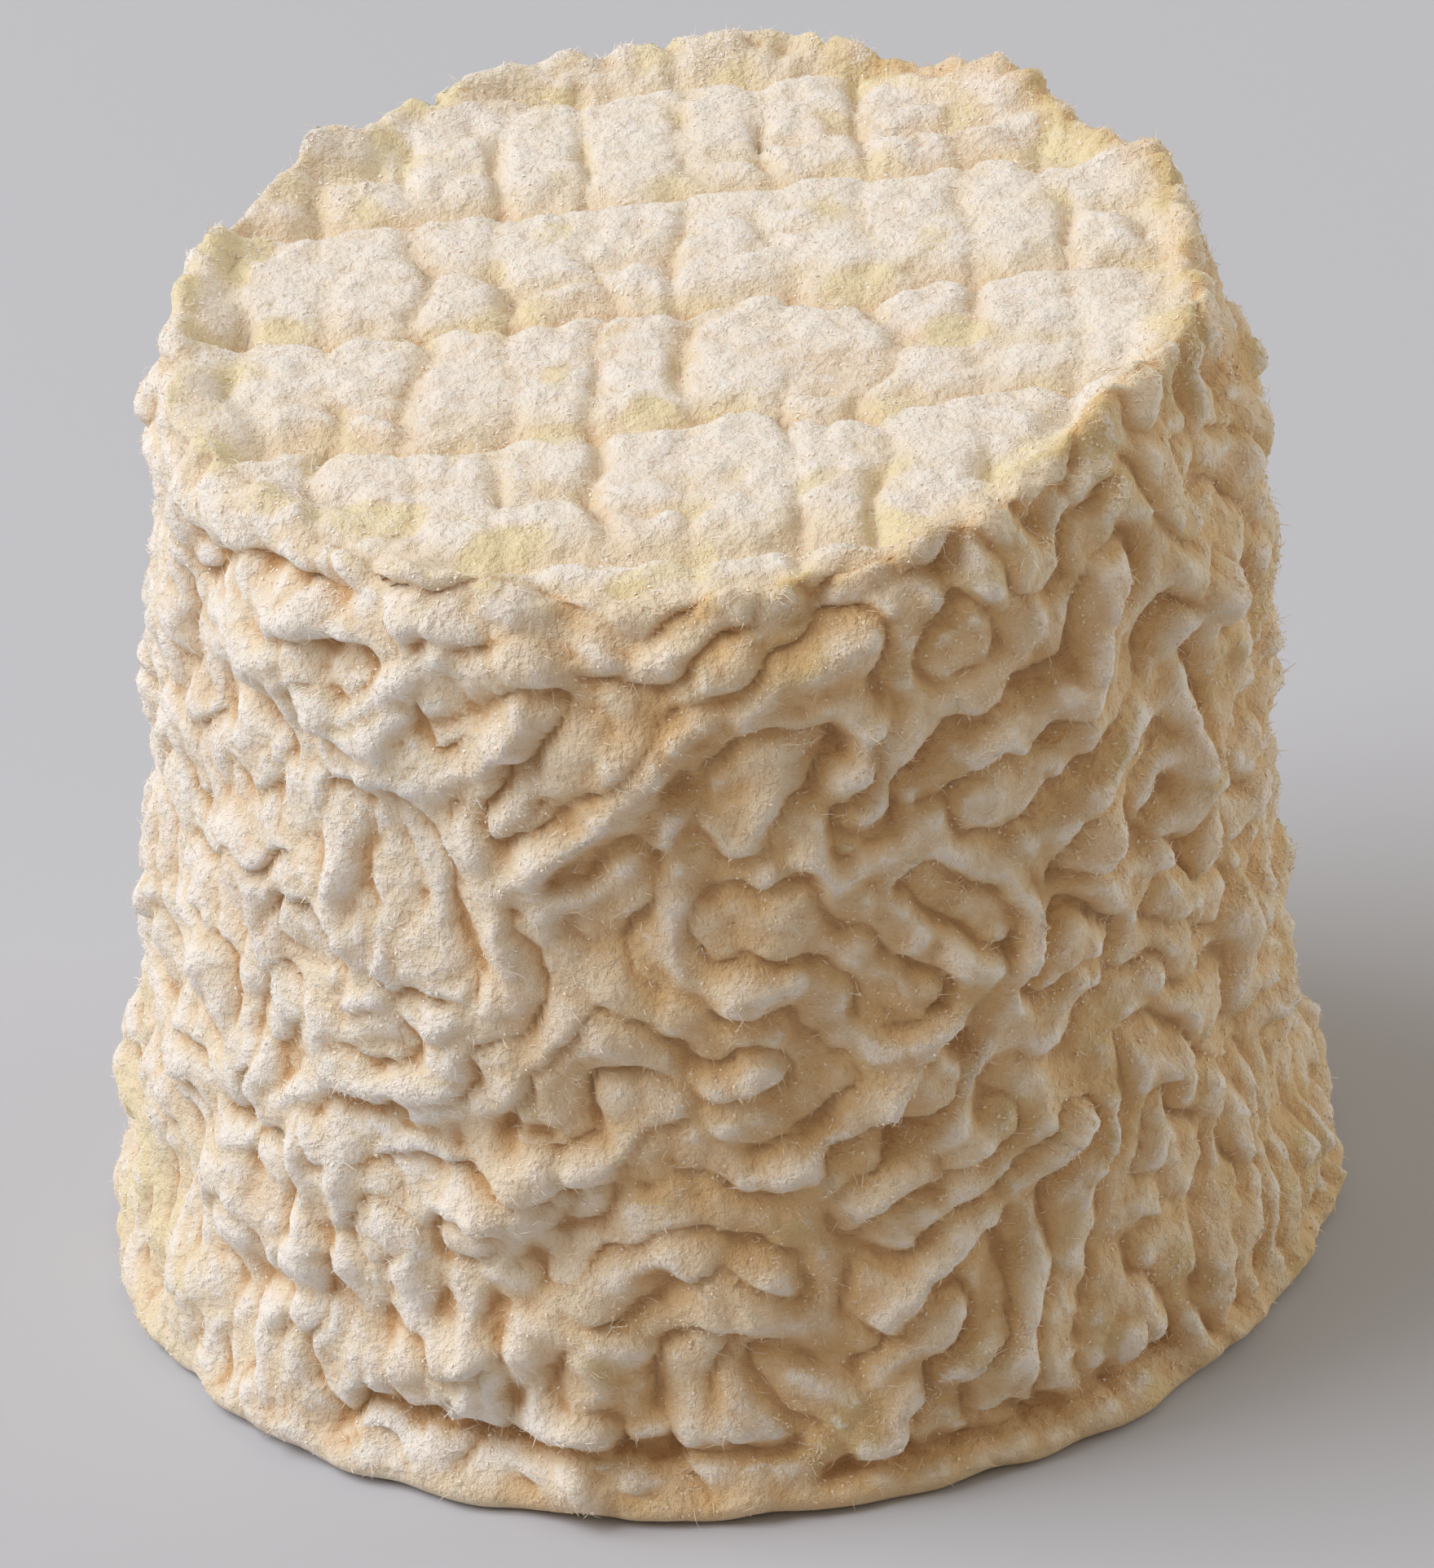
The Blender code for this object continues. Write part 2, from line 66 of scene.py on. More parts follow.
# %% The drum's profile, from the edge of the base up the wall and over the rim to the middle of the top
BASE_RADIUS = 32.0 * MM
FOOT_FLARE = 0.8 * MM
FOOT_REACH = 6.0 * MM
WALL_TAPER = 0.068
WALL_TOP = 43.0 * MM
RIM_RADIUS = 26.3 * MM
RIM_HEIGHT = 53.8 * MM
FOOT_ROUND = 1.6 * MM
LIP_WIDTH = 1.8 * MM
LIP_DROP = 0.45 * MM
TOP_SAG = 0.2 * MM
TILT_BACK = 0.10
TILT_RIGHT = 0.055


def smooth_step(value):
    value = np.clip(value, 0.0, 1.0)
    return value * value * (3.0 - 2.0 * value)


def drum_profile():
    foot = np.linspace(0, math.pi / 2, 12)
    foot_radius = BASE_RADIUS - FOOT_ROUND * (1 - np.sin(foot))
    foot_height = FOOT_ROUND * (1 - np.cos(foot))
    wall_height = np.linspace(FOOT_ROUND, WALL_TOP, 60)[1:]
    wall_radius = BASE_RADIUS - WALL_TAPER * (wall_height - FOOT_ROUND)
    turn = np.linspace(0, math.pi / 2, 40)[1:]
    shoulder_radius = RIM_RADIUS + (wall_radius[-1] - RIM_RADIUS) * np.cos(turn)
    shoulder_height = WALL_TOP + (RIM_HEIGHT - WALL_TOP) * np.sin(turn)
    top_radius = np.linspace(RIM_RADIUS, 0, 80)[1:]
    top_height = RIM_HEIGHT - LIP_DROP * smooth_step((RIM_RADIUS - top_radius) / LIP_WIDTH)
    top_height -= TOP_SAG * (1 - (top_radius / RIM_RADIUS) ** 2)
    radius = np.concatenate([foot_radius, wall_radius, shoulder_radius, top_radius])
    height = np.concatenate([foot_height, wall_height, shoulder_height, top_height])
    radius += FOOT_FLARE * np.exp(-((height / FOOT_REACH) ** 2))
    length = np.concatenate([[0], np.cumsum(np.hypot(np.diff(radius), np.diff(height)))])
    return radius, height, length


RADIUS, HEIGHT, LENGTH = drum_profile()
RIM_INDEX = int(np.argmax(HEIGHT))
RIM_LENGTH = LENGTH[RIM_INDEX]
print(f"profile: {LENGTH[-1] / MM:.1f} mm long, rim at {RIM_LENGTH / MM:.1f} mm")


# %% Where a bearing and a height of the finished wall lie on that profile
def turn_between(angle, other):
    return (angle - other + math.pi) % math.tau - math.pi


def stretch_at(x, y):
    """How much taller the cheese is over a place of its plan than in the middle."""
    return 1 + (TILT_BACK * y + TILT_RIGHT * x) / RIM_HEIGHT


def length_at(angle, height):
    x, y = BASE_RADIUS * np.sin(angle), -BASE_RADIUS * np.cos(angle)
    upright = height / stretch_at(x, y)
    return np.interp(upright, HEIGHT[: RIM_INDEX + 1], LENGTH[: RIM_INDEX + 1])


# %% [markdown]
# ## Waves for the folds
#
# The folds of a ripened rind are a growth pattern: the skin is longer than what lies under it, so it
# buckles, and the folds keep nearly one distance from each other while they wander and branch. Sculpting
# them by hand would take a day, and a noise texture gives clouds, not folds. A neat way is to take random
# noise on a grid that is wrapped round the drum, keep only the waves of one spacing, and sharpen the
# result a few times. The grid repeats round the drum, so there is no seam.

# %% A grid round the drum, and filters that keep waves of one spacing
GRID_ROUND = 1024
GRID_ALONG = 384
GIRTH = math.tau * 31.0 * MM
CELL_ALONG = 0.19 * MM
CELL_ROUND = GIRTH / GRID_ROUND


def grid_waves(spacing):
    """For each wave of the grid, how many of it fit in a spacing: round the drum, along it, in all."""
    across = np.fft.fftfreq(GRID_ROUND, CELL_ROUND)[:, None] * spacing
    along = np.fft.rfftfreq(GRID_ALONG, CELL_ALONG)[None, :] * spacing
    return across, along, np.hypot(across, along)


def wave_filter(spacing, spread=0.22, heading=None, focus=2.5):
    """Keeps waves of one spacing and, with a heading in degrees, mostly the folds that run that way."""
    across, along, pitch = grid_waves(spacing)
    keep = np.exp(-0.5 * ((pitch - 1) / spread) ** 2)
    if heading is not None:
        run = math.radians(heading)
        keep = keep * np.exp(-focus * (across * math.cos(run) + along * math.sin(run)) ** 2)
    return keep


def blur_filter(width):
    return np.exp(-(grid_waves(width)[2] ** 2))


def filtered(field, keep):
    return np.fft.irfft2(np.fft.rfft2(field) * keep, s=field.shape)


def noise(seed, spacing, spread=0.35):
    """Random waves of one spacing over the grid, of unit strength."""
    rough = np.random.default_rng(seed).standard_normal((GRID_ROUND, GRID_ALONG))
    waves = filtered(rough, wave_filter(spacing, spread))
    return waves / waves.std()


def sample(field, angle, length):
    """Reads a field of the grid at any bearing and length."""
    place = (angle / math.tau * GRID_ROUND) % GRID_ROUND
    rise = np.clip(length / CELL_ALONG, 0, GRID_ALONG - 1.001)
    i, j = place.astype(int), rise.astype(int)
    u, v = place - i, rise - j
    i, following = i % GRID_ROUND, (i + 1) % GRID_ROUND
    low = field[i, j] * (1 - u) + field[following, j] * u
    high = field[i, j + 1] * (1 - u) + field[following, j + 1] * u
    return low * (1 - v) + high * v


print(f"grid cell: {CELL_ROUND / MM:.2f} x {CELL_ALONG / MM:.2f} mm")

# %% [markdown]
# ## The folds that give this cheese its face
#
# Random folds make a cheese, but not this one. The ridges and creases that catch the eye at its front are
# given as short paths of degrees round and millimetres up. They push the growth up or down while it forms,
# and the random folds then join on to them.

# %% The ridges and creases at the front
RIDGES = (
    ((-55, 46.5), (-48, 46), (-42, 46.8), (-36, 46)),
    ((-40, 49.8), (-33, 48.3), (-25, 47.8), (-17, 49.8)),
    ((-39, 42), (-34, 43), (-30, 44.5), (-24, 47)),
    ((-39, 38.6), (-30, 39.2), (-22, 40.2), (-16.5, 44)),
    ((-23, 37.5), (-20.5, 33.5), (-18.5, 29), (-27, 26.2)),
    ((-20, 34.7), (-12, 37.3), (-7, 39.7), (1, 44)),
    ((-3, 38.8), (-2, 35), (-3, 31)),
    ((-38.5, 35), (-38, 30)),
    ((10.5, 37.5), (13, 34.8), (20, 35.8), (24, 37)),
    ((16, 33.5), (22, 35), (31.5, 33), (33, 29.3), (27, 23.2)),
    ((22, 38.5), (30, 40.4), (41.5, 41.5), (48, 46.8)),
    ((34, 34.2), (44, 35.5), (49.5, 38)),
    ((45, 34), (41, 31.8), (47, 26.2)),
    ((50, 34), (57, 35.5), (55.3, 42), (66, 43)),
    ((5, 44.3), (10.5, 46), (18, 47.5)),
    ((-10, 48), (-5, 46.8), (5, 50.2)),
    ((11, 43), (14, 44.2), (18, 42.5), (15, 40)),
    ((3, 29.3), (9, 29.5)),
    ((13, 27.5), (15, 25.5), (24.5, 26)),
    ((-50, 20), (-47, 24.5)),
    ((-47, 19.5), (-40, 22), (-26, 23)),
    ((-44, 17), (-43, 12), (-41, 9.5)),
    ((-38.5, 17.5), (-38, 10.5)),
    ((-22, 16.5), (-29, 16.6), (-30.5, 12.5), (-27.5, 8.5)),
    ((-19, 13.2), (-25, 13), (-24, 8.5)),
    ((-5, 14.8), (-12, 13), (-19, 10.5), (-17.5, 5.5), (-12, 4.9)),
    ((4, 19), (9, 19.5), (17, 22), (20.5, 23.8)),
    ((14, 16.8), (24, 20), (26, 23), (21, 25)),
    ((22, 17.5), (31, 20.5), (39, 25.5)),
    ((37, 18), (31, 16), (31, 11), (27, 5)),
    ((15, 10.3), (23, 14), (28, 14.5)),
    ((6, 7.8), (12, 6.7), (22, 10)),
    ((10, 5), (15, 2.8), (17, 6.5)),
    ((18, 34), (22, 31), (28, 28.5)),
    ((-41, 41.5), (-36, 41), (-31, 42)),
)
CREASES = (
    ((-52, 48.3), (-41, 48.5)),
    ((-30, 41.6), (-24, 43), (-20, 45)),
    ((-14, 35), (-5, 38), (-1, 40.6)),
    ((12, 41.5), (14.5, 42), (17, 41.4)),
    ((15, 37.2), (17, 36.8), (20, 37.6)),
    ((-39, 20.8), (-26, 20.2)),
    ((-20, 21.2), (-10, 21)),
    ((-50, 8.7), (-40, 9.6)),
    ((-35, 4.2), (-20, 3.9), (-5, 3.9), (6, 4.2)),
    ((10, 2.4), (30, 2.5), (48, 3.2)),
)
RIDGE_WIDTH = 1.2 * MM
CREASE_WIDTH = 0.7 * MM
print(len(RIDGES), "ridges and", len(CREASES), "creases")


# %% How they push the growth
def distance_to(path, angle, length):
    """How far each place of the grid is from a path."""
    nearest = np.full(np.broadcast(angle, length).shape, 1.0)
    radius = GIRTH / math.tau
    turns = [math.radians(turn) for turn, _ in path]
    lengths = [length_at(turn, height * MM) for turn, (_, height) in zip(turns, path)]
    for start in range(len(path) - 1):
        step_x = radius * (turns[start + 1] - turns[start])
        step_y = lengths[start + 1] - lengths[start]
        from_x = radius * turn_between(angle, turns[start])
        from_y = length - lengths[start]
        share = (from_x * step_x + from_y * step_y) / (step_x**2 + step_y**2)
        share = np.clip(share, 0, 1)
        gap = np.hypot(from_x - share * step_x, from_y - share * step_y)
        nearest = np.minimum(nearest, gap)
    return nearest


grid_angle = (np.arange(GRID_ROUND) * math.tau / GRID_ROUND)[:, None]
grid_length = (np.arange(GRID_ALONG) * CELL_ALONG)[None, :]
ridge_gaps = [distance_to(path, grid_angle, grid_length) for path in RIDGES]
crease_gaps = [distance_to(path, grid_angle, grid_length) for path in CREASES]


def fold_push():
    """Up along the ridges, and down on both sides of them."""
    nearest = np.minimum.reduce(ridge_gaps)
    push = 1.5 * np.exp(-((nearest / RIDGE_WIDTH) ** 2))
    return push - 1.3 * np.exp(-(((nearest - 2.5 * RIDGE_WIDTH) / (0.8 * RIDGE_WIDTH)) ** 2))


print(f"growth is pushed by {fold_push().min():.1f} to {fold_push().max():.1f}")


# %% [markdown]
# ## From waves to folds
#
# A wave is high in one place and low in the next. A fold isn't: the rind has broad round folds with thin
# creases between them. One trick gives both. The size of a wave, without its sign, is a broad hump on both
# sides of each line where the wave crosses zero, and those lines wind and branch as creases do. So the
# waves here are twice as long as a fold is wide.

# %% Grow the waves
FOLD_WAVE = 5.1 * MM
LEVEL_WAVE = 5.0 * MM
FINGER_WAVE = 4.7 * MM
LOBE_WAVE = 7.4 * MM
GROWTH_ROUNDS = 3
WAVE_ROUND = 0.9 * MM

right_side = smooth_step(0.5 + 1.4 * np.sin(grid_angle - 0.2) + 0.15 * noise(12, 12 * MM))


def grown_waves():
    """Winding waves over the grid, of unit strength.

    Their kind changes over the wall: fingers low down, level folds, then large slanting lobes.
    """
    height = np.interp(grid_length, LENGTH, HEIGHT) + 2.5 * MM * noise(11, 12 * MM)
    fingers = smooth_step((15 * MM - height) / (5 * MM))
    level = smooth_step((height - 14 * MM) / (4 * MM)) * smooth_step((26 * MM - height) / (4 * MM))
    lobes = smooth_step((height - 33 * MM) / (6 * MM)) * (1 - 0.8 * right_side)
    even = np.clip(1 - fingers - level - lobes, 0.25, 1)
    kinds = (
        (fingers, wave_filter(FINGER_WAVE, spread=0.3, heading=90, focus=1.5)),
        (level, wave_filter(LEVEL_WAVE, spread=0.4, heading=8, focus=0.9)),
        (lobes, wave_filter(LOBE_WAVE, spread=0.4, heading=30, focus=0.5)),
        (even, wave_filter(FOLD_WAVE, spread=0.45)),
    )
    push = fold_push()
    stray = noise(13, 7 * MM, 0.5)
    skin = noise(14, 7 * MM, 0.5) + push
    for _ in range(GROWTH_ROUNDS):
        waves = sum(mask * filtered(skin, keep) for mask, keep in kinds)
        skin = np.tanh(1.1 * waves / waves.std() + 0.6 * push + 0.45 * stray)
    waves = filtered(skin, blur_filter(WAVE_ROUND))
    return waves / waves.std() + 0.14 * noise(52, 3 * MM, 0.5)


def swollen(waves, sharpness, roundness=0.05):
    """From 0 in thin creases, where the waves cross zero, to 1 on the broad folds between them."""
    size = np.sqrt(waves**2 + roundness) - math.sqrt(roundness)
    return 1 - np.exp(-size / sharpness)


# %% Some creases are deep and some are hardly there
def uneven(field, middle, swing, low, high):
    """A share that wanders round a middle with a field of noise, and stays between two limits."""
    return np.clip(middle + swing * field, low, high)


crease_share = uneven(noise(57, 9 * MM, 0.5), middle=1.05, swing=0.28, low=0.45, high=1.5)
folds = 1 - crease_share * (1 - swollen(grown_waves(), sharpness=0.55, roundness=0.03))
print(f"folds: from {folds.min():.2f} to {folds.max():.2f}, {folds.mean():.2f} on average")

# %% [markdown]
# ## Pillows on the left, narrow folds on the right
#
# The folds alone are too even. On the left, smaller pillows and lumps break them up. On the right the rind
# has sunk between its folds: they are narrower there, and a faint net of thin ridges joins them. The ridges
# lie where another wave crosses zero, so they come from the same trick, turned over.

# %% Folds, pillows and net
PILLOW_WAVE = 6.6 * MM
NET_WAVE = 10.0 * MM
LUMP_WAVE = 4.2 * MM
SWELL_WAVE = 8 * MM
FOLD_DEPTH = 0.95 * MM
NARROWNESS = 2.2
PILLOW_DEPTH = 0.4 * MM
LUMP_DEPTH = 0.14 * MM
NET_HEIGHT = 0.65 * MM
NET_WIDTH = 0.26
SWELL_DEPTH = 0.3 * MM


def net_line(waves):
    """1 on the line where the waves cross zero, and less on both sides of it."""
    return np.exp(-np.abs(waves) / NET_WIDTH)


def grown_relief():
    """The height of folds, pillows and net over the grid."""
    winding = noise(51, PILLOW_WAVE, 0.35) + 0.2 * noise(56, 3 * MM, 0.4)
    wide_winding = noise(53, NET_WAVE, 0.35) + 0.25 * noise(54, 3.6 * MM, 0.4)
    lumps = LUMP_DEPTH * np.tanh(1.1 * noise(58, LUMP_WAVE, 0.5))
    swell = SWELL_DEPTH * noise(55, SWELL_WAVE, 0.4)
    net = 0.6 * net_line(wide_winding) + 0.45 * net_line(winding)
    pillowed = 0.88 * FOLD_DEPTH * folds + PILLOW_DEPTH * swollen(winding, sharpness=0.5) + lumps
    narrow_folds = np.clip(folds, 0, None) ** NARROWNESS
    netted = 1.25 * FOLD_DEPTH * narrow_folds + NET_HEIGHT * net + 0.6 * lumps
    return pillowed + right_side * (netted - pillowed) + swell


# %% The given ridges and creases on top of it
RIDGE_RISE = 0.6 * MM
RIDGE_CREST_WIDTH = 0.8 * MM
CREASE_CUT = 0.7 * MM
FOOT_CREASES = 2
FOOT_CREASE_CUT = 0.9 * MM
EDGE_ROUND = 0.6 * MM
CREST_SHARE = 0.92


def along_paths(gaps, width):
    """1 on the nearest of some paths, and less over a width to both sides of it."""
    return np.exp(-((np.minimum.reduce(gaps) / width) ** 2))


def rind_relief():
    """How far the rind stands out over the grid. The crests lie at about nothing, and the rest is below."""
    height = grown_relief()
    height = height + RIDGE_RISE * along_paths(ridge_gaps, RIDGE_CREST_WIDTH)
    height = height - CREASE_CUT * along_paths(crease_gaps, CREASE_WIDTH)
    height = height - FOOT_CREASE_CUT * along_paths(crease_gaps[-FOOT_CREASES:], CREASE_WIDTH)
    height = filtered(height, blur_filter(EDGE_ROUND))
    return height - np.quantile(height, CREST_SHARE)


# %% [markdown]
# ## Crumpling
#
# Filtered waves are smooth, and skin isn't. Reading the relief a little to the side of each place, by a
# noise of its own, makes every outline uneven, as turbulence in a texture would.

# %% Crumple it
CRUMPLE = 0.12 * MM
CRUMPLE_WAVE = 3.4 * MM


def crumpled(field):
    """The same field with each place shifted a little, so that no fold has a smooth outline."""
    aside = CRUMPLE * noise(61, CRUMPLE_WAVE, 0.5) / (GIRTH / math.tau)
    along = CRUMPLE * noise(62, CRUMPLE_WAVE, 0.5)
    return sample(field, grid_angle + aside, grid_length + along)


relief = crumpled(rind_relief())
folds = crumpled(folds)
print(f"relief: {relief.min() / MM:.2f} to {relief.max() / MM:.2f} mm")

# %% [markdown]
# ## Small relief on the folds
#
# Seen close, the folds carry wrinkles of their own, a fine grain, and thin raised veins. These are the forms
# that a fine mesh can still hold, so they go into the mesh. What is smaller than half a millimetre is left
# to the material.

# %% Wrinkles, grain and veins over the same grid
WRINKLE_DEPTH = 0.055 * MM
VEIN_HEIGHT = 0.13 * MM
VEIN_WIDTH = 0.2
GRAIN_DEPTH = 0.028 * MM

wrinkles = np.tanh(1.2 * noise(31, 2.1 * MM, 0.4))
grain = noise(32, 1.1 * MM, 0.4)
winding = noise(33, 4.4 * MM, 0.35) + 0.25 * noise(34, 2.2 * MM, 0.5)
veins = np.exp(-((winding / VEIN_WIDTH) ** 2)) * (0.25 + 0.75 * right_side)
small_relief = WRINKLE_DEPTH * wrinkles + GRAIN_DEPTH * grain + VEIN_HEIGHT * veins
print(f"small relief: {small_relief.min() / MM:.2f} to {small_relief.max() / MM:.2f} mm")

# %% [markdown]
# ## The mark of the mould on the top
#
# The fresh curd was pressed in a mould lined with a ribbed mat, so the flat top shows bands that overlap
# like shingles, cut into cells by short seams. It is a repeating pattern that was pressed in, so it is
# written as a sum of grooves, bent a little so that no line is straight.

# %% Bands, seams and cells
BAND_PITCH = 11.4 * MM
BAND_OFFSET = 0.1 * MM
BAND_BOW = 0.4 * MM
LINE_WANDER = 0.4 * MM
SEAM_WANDER = 0.35 * MM
STEP_DEPTH = 0.9 * MM
STEP_LENGTH = 3.0 * MM
STEP_ROUND = 0.35 * MM
CELL_PITCH = 4.8 * MM
CELL_OFFSET = 0.6 * MM
CELL_CROWN = 0.4 * MM
SEAM_DEPTH = 0.3 * MM
SEAM_WIDTH = 0.5 * MM
SPLIT_DEPTH = 0.4 * MM
SPLIT_WIDTH = 0.8 * MM


def by_cell(column, band, column_turn, band_turn):
    """From -1 to 1, and different from cell to cell as if it were drawn."""
    return np.sin(column_turn * column + band_turn * band)


def imprint(x, y, waviness, wear):
    """How far the pressed pattern lies below the plain top. Where it is worn, the cells run together."""
    y = y + LINE_WANDER * waviness - BAND_BOW * (x / RIM_RADIUS) ** 2
    x = x + SEAM_WANDER * waviness
    band = np.floor((y - BAND_OFFSET) / BAND_PITCH)
    behind = (y - BAND_OFFSET) - band * BAND_PITCH
    before = BAND_PITCH - behind
    mark = -STEP_DEPTH * np.clip(1 - behind / STEP_LENGTH, 0, 1) ** 1.5
    mark -= STEP_DEPTH * np.exp(-((before / STEP_ROUND) ** 2))
    seam_number = np.round((x - CELL_OFFSET) / CELL_PITCH)
    seam = x - CELL_OFFSET - seam_number * CELL_PITCH
    column = np.floor((x - CELL_OFFSET) / CELL_PITCH)
    split = 0.42 + 0.12 * by_cell(column, band, 3.7, 5.1)
    split_depth = SPLIT_DEPTH * np.clip(by_cell(column, band, 5.3, 2.9) + 0.5, 0, 1)
    mark -= wear * split_depth * np.exp(-(((behind - split * BAND_PITCH) / SPLIT_WIDTH) ** 2))
    vary = wear * (0.7 + 0.3 * by_cell(seam_number, band, 2.1, 4.3))
    mark -= SEAM_DEPTH * vary * np.exp(-((seam / SEAM_WIDTH) ** 2))
    mark -= CELL_CROWN * vary * (1 - np.abs(2 * seam / CELL_PITCH)) ** 3
    return mark


print(f"top: {2 * RIM_RADIUS / BAND_PITCH:.1f} bands deep and {2 * RIM_RADIUS / CELL_PITCH:.1f} cells wide")


# %% [markdown]
# ## The mesh
#
# A mesh for a drum with an even skin is best made from a cube, not from a cylinder or a sphere, whose
# faces crowd together at the poles. A cube cut into small squares has none: its sides become the wall and
# its top the disc inside the rim. The underside is flat, so its squares are dissolved into one face. It is
# extruded in place and drawn in twice, which leaves two narrow rings round it. An inset would do the same,
# but its points would cross at the corners, where the squares are narrower than the ring.

# %% A cube, cut into small squares
CUTS_FIRST = 10
CUTS_THEN = 14


def start_fresh():
    """Nothing stays selected, so that an operator only works on what is made next."""
    if bpy.context.mode != "OBJECT":
        bpy.ops.object.mode_set(mode="OBJECT")
    bpy.ops.object.select_all(action="DESELECT")


start_fresh()
bpy.ops.mesh.primitive_cube_add(size=2, location=(0, 0, 0))
rind = bpy.context.active_object
rind.name = rind.data.name = "rind"
bpy.ops.object.mode_set(mode="EDIT")
bpy.ops.mesh.subdivide(number_cuts=CUTS_FIRST - 1)
bpy.ops.mesh.subdivide(number_cuts=CUTS_THEN - 1)
print("cube:", CUTS_FIRST * CUTS_THEN, "squares along each edge")

# %% One face with two rings for the underside
RING_SHARES = (0.97, 0.94)

bpy.ops.mesh.select_mode(type="FACE")
bpy.ops.mesh.select_all(action="DESELECT")
bpy.ops.object.mode_set(mode="OBJECT")
low_faces = [face.center.z < -0.999 for face in rind.data.polygons]
rind.data.polygons.foreach_set("select", low_faces)
bpy.ops.object.mode_set(mode="EDIT")
bpy.ops.mesh.dissolve_faces()
for ring_share in RING_SHARES:
    bpy.ops.mesh.extrude_region()
    bpy.ops.transform.resize(value=(ring_share, ring_share, 1), center_override=(0, 0, -1))
bpy.ops.object.mode_set(mode="OBJECT")
print("rind:", len(rind.data.vertices), "points,", len(rind.data.polygons), "faces")


# %% From the cube's skin to a bearing and a length along the profile
def unfold(cube):
    """For each point of the cube: its bearing, its length along the profile, and its share of the base."""
    x, y, z = cube.T
    ring = np.maximum(np.abs(x), np.abs(y))
    wide = np.abs(x) >= np.abs(y)
    main = np.where(wide, x, y)
    cross = np.where(wide, y, x)
    lean = cross / np.where(main == 0, 1, main) * math.pi / 4
    turn = np.where(wide, lean, math.pi / 2 - lean) + np.where(main < 0, math.pi, 0)
    bearing = turn + math.pi / 2
    inside = ring < 1 - 1e-6
    up_wall = RIM_LENGTH * (z + 1) / 2
    over_top = np.interp(-ring * RIM_RADIUS, -RADIUS[RIM_INDEX:], LENGTH[RIM_INDEX:])
    length = np.where(inside, np.where(z > 0, over_top, 0), up_wall)
    base_share = np.where(inside & (z < 0), ring, 1)
    return bearing, length, base_share


# %% [markdown]
# ## Bumps and swellings
#
# A cheese that is turned by hand each day and ripens on its own weight never stays round. The rim has
# peaks and a dip at the front, and the wall swells near the foot. A few soft bumps, each with a place, a
# size and a reach, do what a large soft brush would do in sculpt mode. A bump of the rim has its bearing,
# its rise and how many degrees it reaches. A swelling of the wall has its bearing and height, its rise,
# and its reach round and up.

# %% The bumps of the rim and the swellings of the wall
RIM_BUMPS = (
    (-136, 1.5 * MM, 6),
    (-98, 0.8 * MM, 20),
    (-39, -0.8 * MM, 8),
    (5, -1.5 * MM, 24),
    (57, 1.5 * MM, 8),
    (80, 0.4 * MM, 16),
    (134, 1.2 * MM, 6),
    (175, 0.6 * MM, 6),
)
SWELLINGS = (
    (100, 2.0 * MM, 1.7 * MM, 26, 7.0 * MM),
    (-45, 2.0 * MM, 0.2 * MM, 30, 8.0 * MM),
    (-90, 38.0 * MM, -1.4 * MM, 50, 22.0 * MM),
    (90, 40.0 * MM, 1.5 * MM, 45, 13.0 * MM),
)


def rim_rise(bearing):
    rise = 0
    for turn, bump, half_turn in RIM_BUMPS:
        aside = turn_between(bearing, math.radians(turn)) / math.radians(half_turn)
        rise = rise + bump * np.exp(-(aside**2))
    return rise


def wall_swelling(bearing, height):
    swelling = 0
    for turn, middle, rise, half_turn, half_height in SWELLINGS:
        aside = turn_between(bearing, math.radians(turn)) / math.radians(half_turn)
        swelling = swelling + rise * np.exp(-(aside**2) - ((height - middle) / half_height) ** 2)
    return swelling


print(len(RIM_BUMPS), "bumps of the rim and", len(SWELLINGS), "swellings of the wall")


# %% [markdown]
# ## Moving the skin
#
# Each point of the drum now moves out or in along the drum's own normal, by the height of the fold there.
# The crests also sag down the wall a little, as soft folds do. A Displace modifier could do the first, but
# not the sag, nor the switch from folds on the wall to the imprint on the top. Inside the rim runs a gutter,
# and a recess of it has its bearing, how many degrees it reaches, and how much deeper the gutter is there.

# %% Which way is out
PROFILE_STEP = 0.8 * MM


def profile_heading(length):
    """Which way the profile runs at a length: how fast inwards or outwards, and how fast up."""
    ahead = np.minimum(length + PROFILE_STEP, LENGTH[-1])
    behind = np.maximum(length - PROFILE_STEP, 0)
    run_in = np.interp(ahead, LENGTH, RADIUS) - np.interp(behind, LENGTH, RADIUS)
    run_up = np.interp(ahead, LENGTH, HEIGHT) - np.interp(behind, LENGTH, HEIGHT)
    run = np.hypot(run_in, run_up)
    return run_in / run, run_up / run


def flat_place(x, y):
    """A place of the top, as the bearing and length that read the grid without a pole."""
    return x / (GIRTH / math.tau), y + GRID_ALONG * CELL_ALONG / 2


# %% Put every point of the cube in its place
FADE_HEIGHT = 3.0 * MM
STEADY_HEIGHT = 12 * MM
IMPRINT_EDGE = 1.8 * MM

cube_points = np.empty(len(rind.data.vertices) * 3)
rind.data.vertices.foreach_get("co", cube_points)
bearing, length, base_share = unfold(cube_points.reshape(-1, 3))
drum_radius = np.interp(length, LENGTH, RADIUS)
drum_height = np.interp(length, LENGTH, HEIGHT)
drum_x, drum_y = drum_radius * np.sin(bearing), -drum_radius * np.cos(bearing)
run_in, run_up = profile_heading(length)
on_top = smooth_step((length - RIM_LENGTH) / IMPRINT_EDGE)
fade = smooth_step(drum_height / FADE_HEIGHT) * (1 - on_top)
above_foot = 0.15 + 0.85 * smooth_step(drum_height / STEADY_HEIGHT)
print(f"on the top: {on_top.mean():.0%} of the points")

